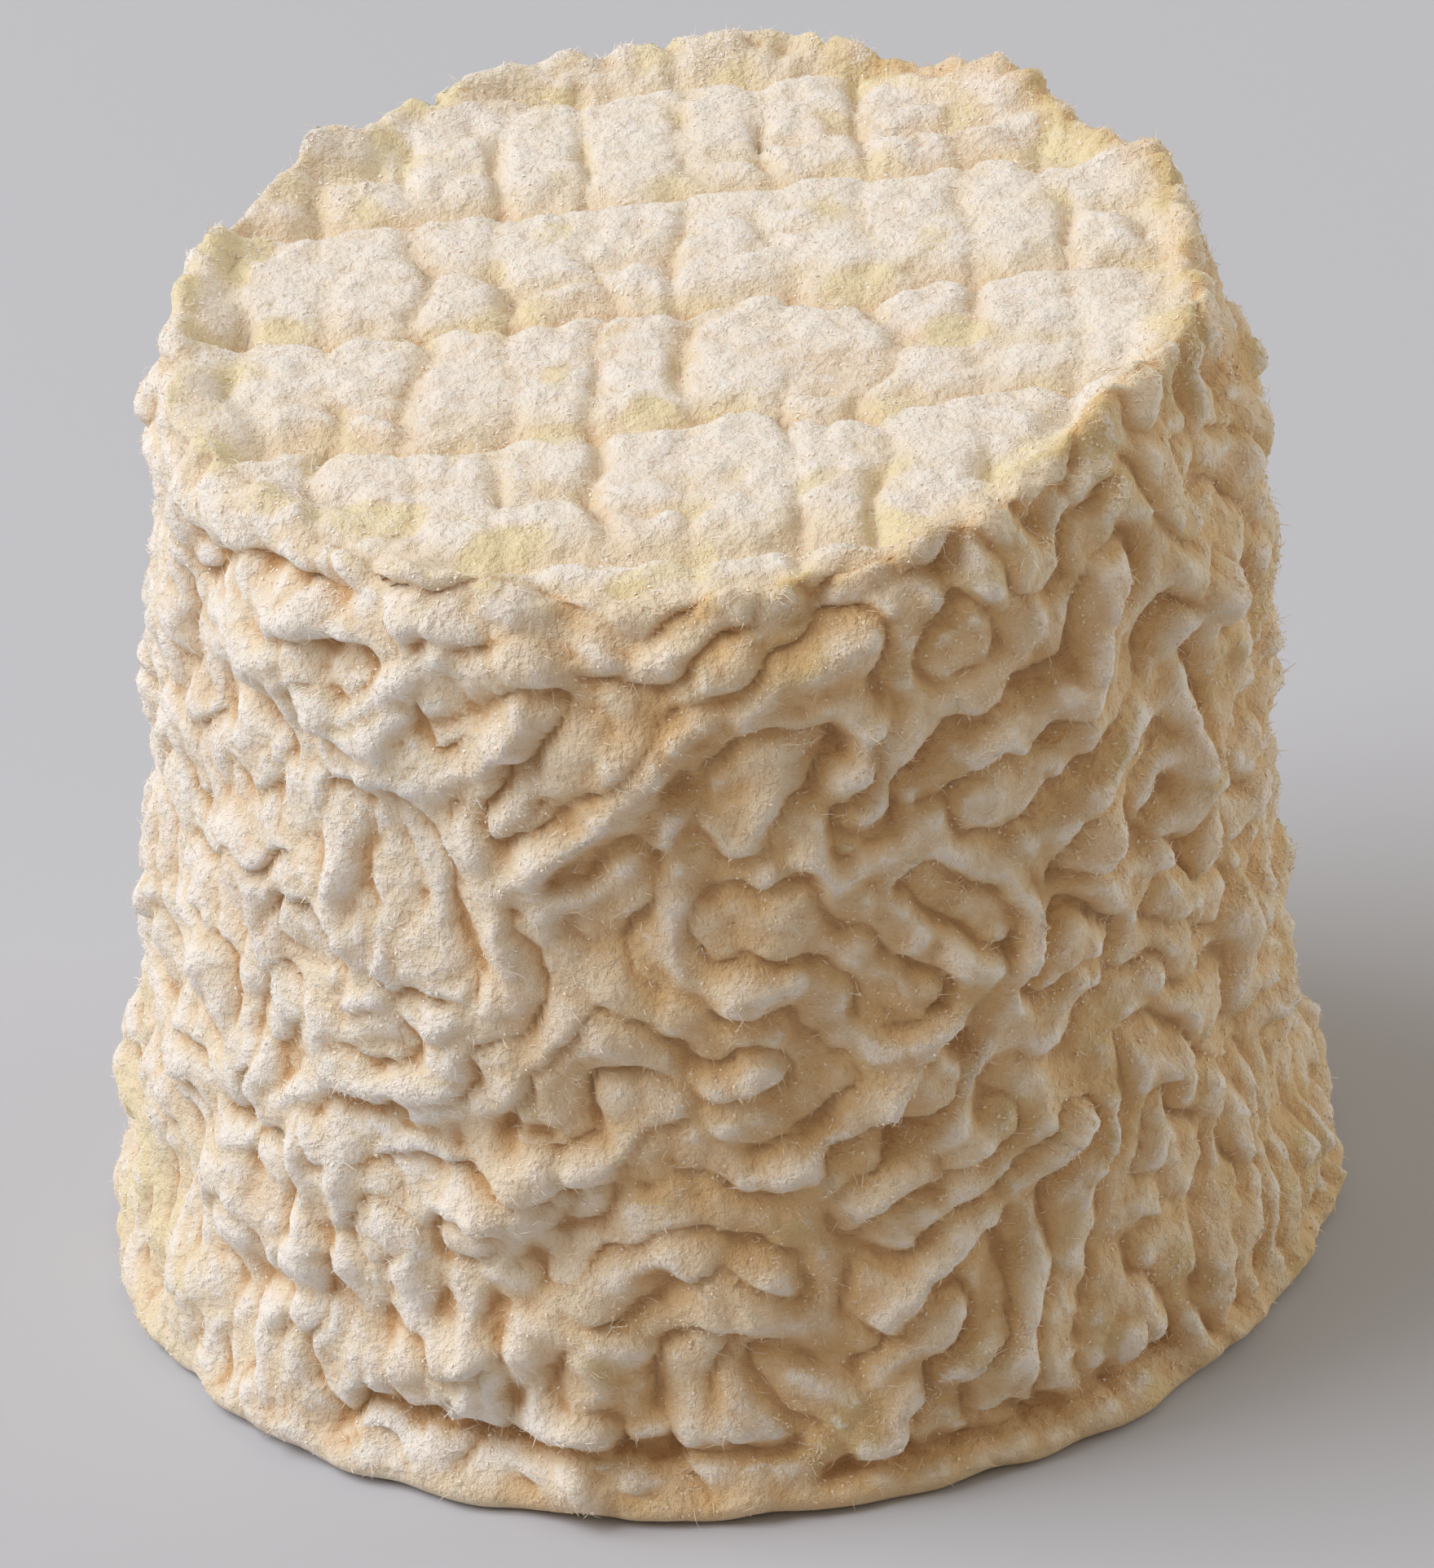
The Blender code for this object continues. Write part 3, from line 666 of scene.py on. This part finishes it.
# %% The rim: a lip, a gutter inside it and an undercut outside
RIM_REACH_OUTSIDE = 4.5 * MM
RIM_REACH_INSIDE = 2.4 * MM
CALM_REACH = 2.6 * MM
CRINKLE_WAVE = 7.5 * MM
CRUMB_WAVE = 3.6 * MM
CRUMB_DEPTH = 0.09 * MM
CRUMB_REACH = 2.6 * MM
LIP_RISE = 0.5 * MM
LIP_REACH = 1.25 * MM
GUTTER_DEPTH = 0.32 * MM
GUTTER_AT = 2.9 * MM
GUTTER_REACH = 0.9 * MM
UNDERCUT_DEPTH = 0.34 * MM
UNDERCUT_AT = 2.4 * MM
UNDERCUT_REACH = 1.1 * MM
RECESSES = ((-95, 38, 0.2), (58, 16, 1.6))


def near_rim(reach, inside=0.0):
    """1 at a distance inside the edge of the rim, and less over a reach to both sides of it."""
    return np.exp(-(((length - RIM_LENGTH - inside) / reach) ** 2))


def facing(turn, half_turn):
    """1 at a bearing in degrees, and less over half a turn to both sides of it."""
    return np.exp(-((turn_between(bearing, math.radians(turn)) / math.radians(half_turn)) ** 2))


at_rim = near_rim(np.where(length > RIM_LENGTH, RIM_REACH_INSIDE, RIM_REACH_OUTSIDE))
calm = near_rim(CALM_REACH)
crinkle = sample(noise(24, CRINKLE_WAVE, 0.6), bearing, length)
crumbs = CRUMB_DEPTH * sample(noise(26, CRUMB_WAVE, 0.6), bearing, length) * near_rim(CRUMB_REACH)
lip = near_rim(LIP_REACH) * uneven(crinkle, middle=0.55, swing=0.6, low=0, high=1.7)
lip = lip * (0.8 + 0.3 * np.cos(bearing + math.radians(20)))
recess = 1 + sum(share * facing(turn, half_turn) for turn, half_turn, share in RECESSES)
gutter = near_rim(GUTTER_REACH, inside=GUTTER_AT) * recess
gutter *= uneven(crinkle, middle=0.6, swing=0.5, low=0.1, high=1.2)
undercut = near_rim(UNDERCUT_REACH, inside=-UNDERCUT_AT)
undercut *= uneven(crinkle, middle=0.7 + 0.5 * np.cos(bearing), swing=0.6, low=0, high=1.6)
print(f"lip: {LIP_RISE * lip.max() / MM:.2f} mm high, gutter: {GUTTER_DEPTH * gutter.max() / MM:.2f} mm deep")

# %% The foot and the top
FOOT_WAVE = 7 * MM
FOOT_WAVE_HEIGHT = 5 * MM
WEAR_WAVE = 11 * MM
WANDER_WAVE = 9 * MM
PEBBLE_WAVE = 2.6 * MM
PEBBLE_DEPTH = 0.09 * MM
BIG_WAVE = 13 * MM

top_place = flat_place(drum_x, drum_y)
foot_wave = sample(noise(27, FOOT_WAVE, 0.6), bearing, length)
foot_wave = foot_wave * np.exp(-((drum_height / FOOT_WAVE_HEIGHT) ** 2))
worn = uneven(sample(noise(25, WEAR_WAVE), *top_place), middle=0.9, swing=0.35, low=0.15, high=1.3)
top_mark = imprint(drum_x, drum_y, sample(noise(21, WANDER_WAVE), *top_place), worn)
top_mark += PEBBLE_DEPTH * sample(noise(22, PEBBLE_WAVE, 0.5), *top_place)
crest = sample(folds, bearing, length)
relief_here = sample(relief, bearing, length)
big = sample(noise(23, BIG_WAVE), bearing, length)
print(f"mark of the mould: down to {top_mark[on_top == 1].min() / MM:.2f} mm")

# %% Add them up
FOLD_LEAN = 0.45 * MM
DEPTH_SWING = 0.18
RIM_CALM = 0.3
LIP_FLARE = 0.2 * MM
FOOT_WAVE_DEPTH = 0.2 * MM
WALL_WANDER = 0.3 * MM
RIM_WANDER = 0.25 * MM


def skin_points(small):
    """The finished skin, with small relief added to the folds and the imprint."""
    depth = (1 + DEPTH_SWING * big) * (1 - RIM_CALM * calm)
    out = depth * relief_here * fade + top_mark * on_top + small
    out = out - UNDERCUT_DEPTH * undercut - GUTTER_DEPTH * gutter + crumbs
    sag = FOLD_LEAN * (crest - 0.5) * fade
    swell = wall_swelling(bearing, drum_height) + WALL_WANDER * big * (1 - on_top) * above_foot
    swell = swell + LIP_FLARE * lip + FOOT_WAVE_DEPTH * foot_wave
    out_r = (drum_radius + out * run_up - sag * run_in + swell) * base_share
    out_z = drum_height - out * run_in - sag * run_up
    out_z += (rim_rise(bearing) + RIM_WANDER * big) * at_rim + LIP_RISE * lip
    x, y = out_r * np.sin(bearing), -out_r * np.cos(bearing)
    z = np.where(drum_height > 0, np.maximum(out_z, 0), 0) * stretch_at(x, y)
    return np.stack([x, y, z], axis=1)


# %% Shape the mesh and set it in the frame
SMOOTH_FOOT = 2 * MM
TOP_WRINKLES = 0.35

small_here = sample(small_relief, bearing, length) * smooth_step(drum_height / SMOOTH_FOOT)
small_on_top = sample(TOP_WRINKLES * WRINKLE_DEPTH * wrinkles + GRAIN_DEPTH * grain, *top_place)
small_here = small_here * (1 - on_top) + small_on_top * on_top
plain = skin_points(0)
skin = skin_points(small_here)
cad_low, cad_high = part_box("cheese")
shift = (np.array(cad_low) + np.array(cad_high)) / 2 - (plain.min(axis=0) + plain.max(axis=0)) / 2
shift[2] = cad_low[2] - plain[:, 2].min()
skin = skin + shift
rind.data.vertices.foreach_set("co", skin.ravel())
rind.data.update()
bpy.ops.object.shade_smooth()
print("moved by", np.round(shift / MM, 2), "mm; sides", np.round((skin.max(0) - skin.min(0)) / MM, 1), "mm")

# %% [markdown]
# ## What the material needs to know
#
# The colour of the rind follows its form: the mould is thick and white on the crests and thin in the creases,
# where the tan skin shows, and the creases are also painted darker as painted shade. The side away from the
# key light is painted darker and warmer, partly as the real tan of the aged rind and partly as painted shade.
# The mesh stores this as attributes, one number a point, that the material reads. They come from the same
# fields as the folds, so colour and form can't drift apart. A straw patch has its bearing and height, its
# strength, and its reach round and up.

# %% How deep each point lies
HOLLOW_REACH = 5.0 * MM
HOLLOW_DEPTH = 0.5 * MM
FINE_REACH = 1.8 * MM
FINE_DEPTH = 0.2 * MM

full_relief = relief + small_relief


def smoothed(width):
    return filtered(full_relief, blur_filter(width))


def store(name, values):
    """Keeps one number a point for the material."""
    attribute = rind.data.attributes.new(name, "FLOAT", "POINT")
    attribute.data.foreach_set("value", values.astype(np.float32))
    print(f"{name}: {values.mean():.2f} on average")


# These hollow measures, how far a point lies below its surroundings, darken the creases in the material:
# partly the bare skin under thin mould, partly painted shade.
hollow = (smoothed(HOLLOW_REACH) - full_relief) / HOLLOW_DEPTH
fine_hollow = (smoothed(FINE_REACH) - full_relief) / FINE_DEPTH
wall_hollow = sample(hollow, bearing, length) * fade
wall_fine = sample(fine_hollow, bearing, length) * fade
top_hollow = -top_mark / STEP_DEPTH - 0.1
crease = np.clip(wall_hollow * (1 - on_top) + top_hollow * on_top, -1, 1)
fine = np.clip(wall_fine * (1 - on_top) + 0.8 * top_hollow * on_top, -1, 1)
store("crease", crease)
store("fine_crease", fine)

# %% The thin crest of each fold, where the mould is whitest
CREST_LINE_WIDTH = 0.9 * MM
CREST_LINE_REACH = 2.6 * MM
MOST_CREST = 2

crest_lines = smoothed(CREST_LINE_WIDTH) - smoothed(CREST_LINE_REACH)
crest_lines = crest_lines / crest_lines.std()
crest_line = np.clip(sample(crest_lines, bearing, length) * fade, -MOST_CREST, MOST_CREST) / MOST_CREST
store("crest_line", crest_line)

# %% How aged and shaded each place is painted, and how yellow it is
AGE_AND_SHADE_TURN = 0.28
AGE_AND_SHADE_EDGE = 1.6
RIM_COLOUR_INSIDE = 3.4 * MM
RIM_COLOUR_OUTSIDE = 2.4 * MM
STRAW_PATCHES = (
    (78, 28 * MM, 0.35, 32, 40 * MM),
    (75, 3 * MM, 0.5, 30, 7 * MM),
    (-80, 7 * MM, 0.95, 26, 12 * MM),
    (35, 18 * MM, 0.2, 30, 14 * MM),
)
LEAST_STRAW = 0.3

# One side, round to the right and away from the key light, is painted darker and warmer: partly the real tan
# of the aged rind, partly painted shade.
aged_and_shaded = smooth_step(0.5 + AGE_AND_SHADE_EDGE * np.sin(grid_angle + AGE_AND_SHADE_TURN) + 0.12 * noise(43, 10 * MM))
aged_and_shaded_here = sample(aged_and_shaded, bearing, length) * (1 - on_top)
# The yellow is stronger on that aged and painted-shade side.
yellow = sample(noise(41, 8 * MM, 0.5), bearing, length) * (1 - on_top) * (0.35 + 0.65 * aged_and_shaded_here)
yellow = yellow + sample(noise(42, 7 * MM, 0.5), *top_place) * on_top
rim_colour = near_rim(np.where(length > RIM_LENGTH, RIM_COLOUR_INSIDE, RIM_COLOUR_OUTSIDE))
straw_here = 0.4 * yellow + rim_colour * (0.42 + 0.3 * crinkle)
straw_here += 0.45 * np.clip(top_hollow, 0, 1) * on_top
for turn, middle, strength, half_turn, half_height in STRAW_PATCHES:
    patch = facing(turn, half_turn) * np.exp(-(((drum_height - middle) / half_height) ** 2))
    straw_here += strength * patch * (1 - on_top)
# The creases of that side get more straw, partly painted shade.
straw_here += 0.2 * np.clip(crease, 0, 1) * aged_and_shaded_here
store("aged_and_shaded_side", aged_and_shaded_here)
store("yellowing", np.clip(straw_here - LEAST_STRAW, -1, 1))
store("top_side", on_top)
store("rim_side", rim_colour)

# %% [markdown]
# ## Writing a material as sums
#
# A material is a graph of nodes. Written link by link, it is long and hard to read. The class below wraps
# the output of a node, so that a sum of two wires adds the Math node that works it out, and one line of
# Python reads like the formula that it stands for.


# %% A wire that does sums
class Wire:
    """The output of a node. Its operators add the nodes that work out a sum."""

    tree = None

    def __init__(self, socket):
        self.socket = socket

    @classmethod
    def node(cls, kind, settings=None, values=None, output=0):
        """Adds a node: its settings are set first, then a value or a wire goes to each named socket."""
        made = cls.tree.nodes.new("ShaderNode" + kind)
        for name, value in (settings or {}).items():
            setattr(made, name, value)
        for name, value in (values or {}).items():
            if isinstance(value, Wire):
                cls.tree.links.new(value.socket, made.inputs[name])
            else:
                made.inputs[name].default_value = value
        return cls(made.outputs[output])

    def sum(self, operation, other, swapped=False):
        first, second = (other, self) if swapped else (self, other)
        return Wire.node("Math", {"operation": operation}, {0: first, 1: second})

    def __add__(self, other):
        return self.sum("ADD", other)

    def __sub__(self, other):
        return self.sum("SUBTRACT", other)

    def __rsub__(self, other):
        return self.sum("SUBTRACT", other, swapped=True)

    def __mul__(self, other):
        return self.sum("MULTIPLY", other)

    __radd__ = __add__
    __rmul__ = __mul__

    def between(self, low, high):
        """0 below low, 1 above high, and smooth in between."""
        settings = {"interpolation_type": "SMOOTHSTEP", "clamp": True}
        return Wire.node("MapRange", settings, {"Value": self, "From Min": low, "From Max": high})

    def tint(self, under, over):
        """The colour under where this wire is 0, and the colour over where it is 1."""
        settings = {"data_type": "RGBA"}
        return Wire.node("Mix", settings, {"Factor": self, 6: under, 7: over}, output=2)


# %% Helpers that every finish uses
def start_material(name):
    """A new material whose graph the next wires go into, and its shader."""
    material = bpy.data.materials.new(name)
    material.use_nodes = True
    Wire.tree = material.node_tree
    return material, material.node_tree.nodes["Principled BSDF"]


def attribute(name):
    return Wire.node("Attribute", {"attribute_name": name}, output="Fac")


def cloud(place, size, detail=2.0, roughness=0.5, shift=0.0):
    """A noise texture with blotches of one size, in metres."""
    moved = Wire.node("VectorMath", {"operation": "ADD"}, {0: place, 1: (shift, shift, shift)})
    values = {"Vector": moved, "Scale": 1 / size, "Detail": detail, "Roughness": roughness}
    return Wire.node("TexNoise", None, values)


def feed(shader, name, wire):
    Wire.tree.links.new(wire.socket, shader.inputs[name])


# %% [markdown]
# ## The finish of the rind
#
# Up close the rind is not one colour. Thick mould is a cool, slightly pink white. Where it is thin, the skin
# under it shows as warm cream, and it deepens to tan in the creases; that tan is partly the bare skin and
# partly painted shade, and the deepest creases are painted dark tan as painted shade. On the side away from
# the key light each colour is a darker, warmer copy, partly the aged rind and partly painted shade.
# Straw-yellow patches come up on the rim and on some folds. All of it is powdery, and light goes a little way
# into it, which makes the creases glow.

# %% The colours, as linear light
# BLOOM_CREAM, DARK_STRAW and TAN are darker, warmer copies of BLOOM_WHITE, STRAW and PALE_TAN for the side
# away from the key light: partly the aged rind, partly painted shade. DEEP_TAN is for the deepest creases:
# partly bare skin, partly painted shade.
BLOOM_WHITE = (0.925, 0.865, 0.81, 1)
BLOOM_CREAM = (0.84, 0.64, 0.415, 1)
CREAM = (0.86, 0.745, 0.575, 1)
PEACH = (0.81, 0.65, 0.47, 1)
STRAW = (0.87, 0.755, 0.50, 1)
DARK_STRAW = (0.70, 0.54, 0.29, 1)
TAN = (0.77, 0.52, 0.265, 1)
PALE_TAN = (0.82, 0.65, 0.465, 1)
DEEP_TAN = (0.64, 0.39, 0.19, 1)

rind_finish, rind_shader = start_material("wrinkled_rind")
place = Wire.node("TexCoord", output="Object")
crease_wire = attribute("crease")
fine_wire = attribute("fine_crease")
line_wire = attribute("crest_line")
shade_wire = attribute("aged_and_shaded_side")
yellow_wire = attribute("yellowing")
top_wire = attribute("top_side")
rim_wire = attribute("rim_side")

# %% Mix them by form and by patches, with painted shade in the creases and on the side away from the key light
patches = cloud(place, 9 * MM, detail=1.0, roughness=0.55)
blotches = cloud(place, 2.4 * MM, detail=2.0, roughness=0.6, shift=0.3)
powder = cloud(place, 0.4 * MM, detail=3.0, roughness=0.7, shift=0.7)
ragged = (blotches - 0.5) * 0.9 + (powder - 0.5) * 1.1

colour = (patches + ragged * 0.3).between(0.42, 0.68).tint(CREAM, PEACH)
# Straw turns darker on the side away from the key light, partly painted shade.
straw = shade_wire.tint(STRAW, DARK_STRAW)
colour = (yellow_wire + ragged * 0.5).between(0.05, 0.7).tint(colour, straw)
# Tan in the creases and on the side away from the key light: partly the real skin and aged rind, partly
# painted shade.
tan_here = crease_wire * 0.8 + ragged * 0.4 + shade_wire * 0.45 - top_wire * 0.4 - rim_wire * 0.5
colour = tan_here.between(-0.35, 0.85).tint(colour, shade_wire.tint(PALE_TAN, TAN))
# The bloom is a darker, warmer copy on the side away from the key light, partly painted shade.
bloom_colour = shade_wire.tint(BLOOM_WHITE, BLOOM_CREAM)
# Less bloom in the creases and on the side away from the key light, partly painted shade.
thick = ragged * 0.9 - fine_wire * 0.5 - crease_wire * 0.35 - shade_wire * 0.35 + top_wire * 0.3
thick = thick - yellow_wire.between(0.0, 0.6) * 0.45
colour = thick.between(-0.25, 0.6).tint(colour, bloom_colour)
# The deepest creases turn dark tan: partly bare skin, partly painted shade.
deep = crease_wire * 0.7 + fine_wire * 0.5 + ragged * 0.2 - top_wire * 0.5 - rim_wire * 0.6
colour = deep.between(0.3, 1.2).tint(colour, DEEP_TAN)
white_line = line_wire + ragged * 1.2 - 0.45 + shade_wire * 0.1
colour = (white_line.between(0.0, 0.6) * (0.25 + shade_wire * 0.45)).tint(colour, BLOOM_WHITE)
feed(rind_shader, "Base Color", colour)

# %% Powder to the touch, and soft to the light
BUMP_DEPTH = 0.36 * MM

grain_wire = cloud(place, 0.9 * MM, detail=1.0, roughness=0.65, shift=1.1)
bump_height = powder * 0.9 + grain_wire * 0.8
bump = Wire.node("Bump", None, {"Strength": 1.0, "Distance": BUMP_DEPTH, "Height": bump_height})
feed(rind_shader, "Normal", bump)
feed(rind_shader, "Roughness", 0.88 - crease_wire.between(0.2, 1.0) * 0.2)
RIND_SOCKETS = {
    "Subsurface Weight": 0.22,
    "Subsurface Radius": (1.0, 0.6, 0.35),
    "Subsurface Scale": 1.8 * MM,
    "IOR": 1.4,
    "Specular IOR Level": 0.25,
    "Sheen Weight": 0.12,
    "Sheen Roughness": 0.6,
}
for socket_name, value in RIND_SOCKETS.items():
    rind_shader.inputs[socket_name].default_value = value
rind.data.materials.append(rind_finish)
print("rind finish:", len(Wire.tree.nodes), "nodes")

# %% Tell the frame what the rind is
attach(rind, "root")
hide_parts("cheese")

# %% [markdown]
# ## A fuzz of mould
#
# White mould is a felt of fine threads. They stand off the crests and catch the light, and they are what
# makes the rind look soft. A hair system could grow them, but it isn't a mesh, and the finished part has to
# be one. So one short thread is modelled, and copies of it are strewn over the rind, each turned, bent and
# sized by a seeded draw. A thread has ten small triangles, because there are thousands of them. They grow
# thickest on the crests and round the rim. Very short and thick ones are the crumbs of mould.

# %% One thread, one unit long
FOOT_RADIUS = 0.6
BELLY_HEIGHT = 0.55
BELLY_SWELL = 1.9

start_fresh()
bpy.ops.mesh.primitive_cone_add(vertices=3, radius1=FOOT_RADIUS, radius2=0, depth=1, location=(0, 0, 0.5))
thread = bpy.context.active_object
thread.name = "thread"
bpy.ops.object.mode_set(mode="EDIT")
bpy.ops.mesh.select_all(action="SELECT")
bpy.ops.mesh.bisect(plane_co=(0, 0, BELLY_HEIGHT), plane_no=(0, 0, 1))
bpy.ops.transform.resize(value=(BELLY_SWELL, BELLY_SWELL, 1), center_override=(0, 0, BELLY_HEIGHT))
bpy.ops.object.mode_set(mode="OBJECT")
bpy.ops.object.transform_apply(location=True, rotation=True, scale=True)
thread_points = np.array([point.co for point in thread.data.vertices])
thread_faces = [list(face.vertices) for face in thread.data.polygons]
print("thread:", len(thread_points), "points,", len(thread_faces), "faces")

# %% Where the threads root, and how thick they grow there
GROVE_WAVE = 5 * MM
BARE_FOOT = 0.6 * MM

faces = [face for face in rind.data.polygons if len(face.vertices) == 4]
corners = np.array([face.vertices[:] for face in faces])
normals = np.array([face.normal for face in faces])
areas = np.array([face.area for face in faces])
grove = sample(noise(71, GROVE_WAVE, 0.6), bearing, length) * (1 - on_top)
grove = grove + sample(noise(72, GROVE_WAVE, 0.6), *top_place) * on_top
growth = np.exp(1.1 * crest_line + 0.6 * grove) * (0.7 + 0.8 * rim_colour)
grown = areas * growth[corners[:, 0]] * (skin[corners[:, 0], 2] > BARE_FOOT)
print(f"threads may root on {np.count_nonzero(grown)} faces")

# %% Strew them
LIFTS = (8, 55)
MOST_BEND = 0.5
DROOP = 0.25
ROOT_DEPTH = 0.02 * MM


def strewn(name, count, seed, lengths, thicknesses):
    """One piece of many threads. Each point also keeps how aged and painted-shaded the rind is at the root of
    its thread.
    """
    draw = np.random.default_rng(seed)
    chosen = draw.choice(len(grown), count, p=grown / grown.sum())
    first, second, _, last = (skin[corners[chosen, corner]] for corner in range(4))
    across, along = draw.random((count, 1)), draw.random((count, 1))
    root = first + across * (second - first) + along * (last - first)
    normal = normals[chosen]
    heading = np.cross(normal, draw.standard_normal((count, 3)))
    heading /= np.linalg.norm(heading, axis=1, keepdims=True)
    lift = np.radians(draw.uniform(*LIFTS, (count, 1)))
    upwards = np.cos(lift) * heading + np.sin(lift) * normal
    side = np.cross(upwards, normal)
    side /= np.linalg.norm(side, axis=1, keepdims=True)
    third = np.cross(upwards, side)
    reach = draw.uniform(*lengths, (count, 1, 1)) * draw.uniform(0.5, 1, (count, 1, 1))
    girth = draw.uniform(*thicknesses, (count, 1, 1))
    bend = draw.uniform(-MOST_BEND, MOST_BEND, (count, 1, 1))
    wide, deep, high = thread_points.T[:, None, :, None]
    points = root[:, None] - ROOT_DEPTH * normal[:, None] + reach * high * upwards[:, None]
    points = points + girth * (wide * side[:, None] + deep * third[:, None])
    points = points + reach * high**2 * (bend * side[:, None] - DROOP * normal[:, None])
    each = len(thread_points)
    shapes = [[corner + each * copy for corner in face] for copy in range(count) for face in thread_faces]
    mesh = bpy.data.meshes.new(name)
    mesh.from_pydata(points.reshape(-1, 3), [], shapes)
    # That value paints threads on the side away from the key light darker and warmer, partly aged rind and
    # partly painted shade.
    mesh.attributes.new("aged_and_shaded_side", "FLOAT", "POINT")
    aged_and_shaded_root = np.repeat(aged_and_shaded_here[corners[chosen, 0]], each).astype(np.float32)
    mesh.attributes["aged_and_shaded_side"].data.foreach_set("value", aged_and_shaded_root)
    piece = bpy.data.objects.new(name, mesh)
    bpy.context.collection.objects.link(piece)
    print(f"{name}: {count} threads")
    return piece


# %% Long threads, short threads and crumbs
long_threads = strewn("long_threads", 17000, 5, (0.5 * MM, 1.4 * MM), (0.02 * MM, 0.045 * MM))
short_threads = strewn("short_threads", 19000, 6, (0.15 * MM, 0.6 * MM), (0.03 * MM, 0.07 * MM))
mould_crumbs = strewn("mould_crumbs", 19000, 7, (0.1 * MM, 0.3 * MM), (0.08 * MM, 0.17 * MM))
bpy.data.objects.remove(thread)

# %% The finish of the threads
# THREAD_CREAM is the darker, warmer copy for threads on the side away from the key light: partly aged rind,
# partly painted shade.
THREAD_WHITE = (0.93, 0.87, 0.80, 1)
THREAD_CREAM = (0.88, 0.74, 0.56, 1)
thread_finish, thread_shader = start_material("mould_threads")
place = Wire.node("TexCoord", output="Object")
thread_age_and_shade = attribute("aged_and_shaded_side") * 0.7 + (cloud(place, 1.5 * MM) - 0.5) * 0.8
feed(thread_shader, "Base Color", thread_age_and_shade.between(0.0, 0.9).tint(THREAD_WHITE, THREAD_CREAM))
thread_shader.inputs["Roughness"].default_value = 0.9
thread_shader.inputs["Specular IOR Level"].default_value = 0.1
for piece in (long_threads, short_threads, mould_crumbs):
    piece.data.materials.append(thread_finish)
    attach(piece, "root")

# %% [markdown]
# ## Floor, light and camera
#
# The cheese stands on a plain pale floor. One large soft light from the left gives the folds their
# shadows, a small low one on the right lights the far edge, and an even warm sky fills the rest. The camera
# looks down a little with a long lens.

# %% The floor
FLOOR_SIDE = 3.0
FLOOR_GREY = (0.51, 0.53, 0.59, 1)
FLOOR_PALE = (0.545, 0.56, 0.62, 1)

start_fresh()
bpy.ops.mesh.primitive_plane_add(size=FLOOR_SIDE, location=(0, 0, 0))
floor = bpy.context.active_object
floor.name = floor.data.name = "floor"
floor_finish, floor_shader = start_material("pale_floor")
place = Wire.node("TexCoord", output="Object")
feed(floor_shader, "Base Color", cloud(place, 0.4, detail=1.0).tint(FLOOR_GREY, FLOOR_PALE))
floor_shader.inputs["Roughness"].default_value = 0.7
floor.data.materials.append(floor_finish)
print("floor:", FLOOR_SIDE, "m across")


# %% The lights
LIGHT_AIM = Vector((0, 0, 25 * MM))


def softbox(name, azimuth, elevation, distance, size, power, tint):
    """A square of light that faces the cheese. Azimuth 0 is the front, and 90 the right."""
    turn, rise = math.radians(azimuth), math.radians(elevation)
    towards = Vector((math.sin(turn) * math.cos(rise), -math.cos(turn) * math.cos(rise), math.sin(rise)))
    bpy.ops.object.light_add(type="AREA", location=towards * distance + LIGHT_AIM)
    light = bpy.context.active_object
    light.name = light.data.name = name
    light.rotation_euler = towards.to_track_quat("Z", "Y").to_euler()
    light.data.size = size
    light.data.energy = power
    light.data.color = tint
    print(f"{name}: {power} W, {distance} m away")


softbox("key_light", -88, 46, distance=1.30, size=1.05, power=16.6, tint=(0.98, 0.985, 1.0))
softbox("fill_light", 110, 12, distance=0.80, size=0.50, power=2.5, tint=(0.88, 0.96, 1.0))

# %% The sky
SKY_COLOUR = (0.575, 0.495, 0.39, 1)
SKY_STRENGTH = 0.63

world = bpy.data.worlds.new("warm_sky")
bpy.context.scene.world = world
world.use_nodes = True
sky = world.node_tree.nodes["Background"]
sky.inputs["Color"].default_value = SKY_COLOUR
sky.inputs["Strength"].default_value = SKY_STRENGTH
print("sky:", SKY_COLOUR[:3], "x", SKY_STRENGTH)
bpy.context.scene.view_settings.view_transform = "Standard"

# %% The camera
CAMERA_RISE = math.radians(28.0)
CAMERA_ROLL = math.radians(-2.78)
CAMERA_AWAY = 450 * MM
CAMERA_TARGET = Vector((0.44, 0, 25.33)) * MM
PIXELS_TALL = 1924
FOCAL_PIXELS = 10471.4
SENSOR_SIDE = 36

backwards = Vector((0, -math.cos(CAMERA_RISE), math.sin(CAMERA_RISE)))
level_up = Vector((0, math.sin(CAMERA_RISE), math.cos(CAMERA_RISE)))
right = math.cos(CAMERA_ROLL) * Vector((1, 0, 0)) + math.sin(CAMERA_ROLL) * level_up
upwards = -math.sin(CAMERA_ROLL) * Vector((1, 0, 0)) + math.cos(CAMERA_ROLL) * level_up
bpy.ops.object.camera_add()
camera = bpy.context.active_object
camera.name = "camera"
axes = Matrix((right, upwards, backwards)).transposed().to_4x4()
camera.matrix_world = Matrix.Translation(CAMERA_TARGET + backwards * CAMERA_AWAY) @ axes
camera.data.sensor_width = SENSOR_SIDE
camera.data.lens = FOCAL_PIXELS * SENSOR_SIDE / PIXELS_TALL
camera.data.clip_start = 10 * MM
bpy.context.scene.camera = camera
print(f"camera: {camera.data.lens:.1f} mm lens, {CAMERA_AWAY / MM:.0f} mm away")
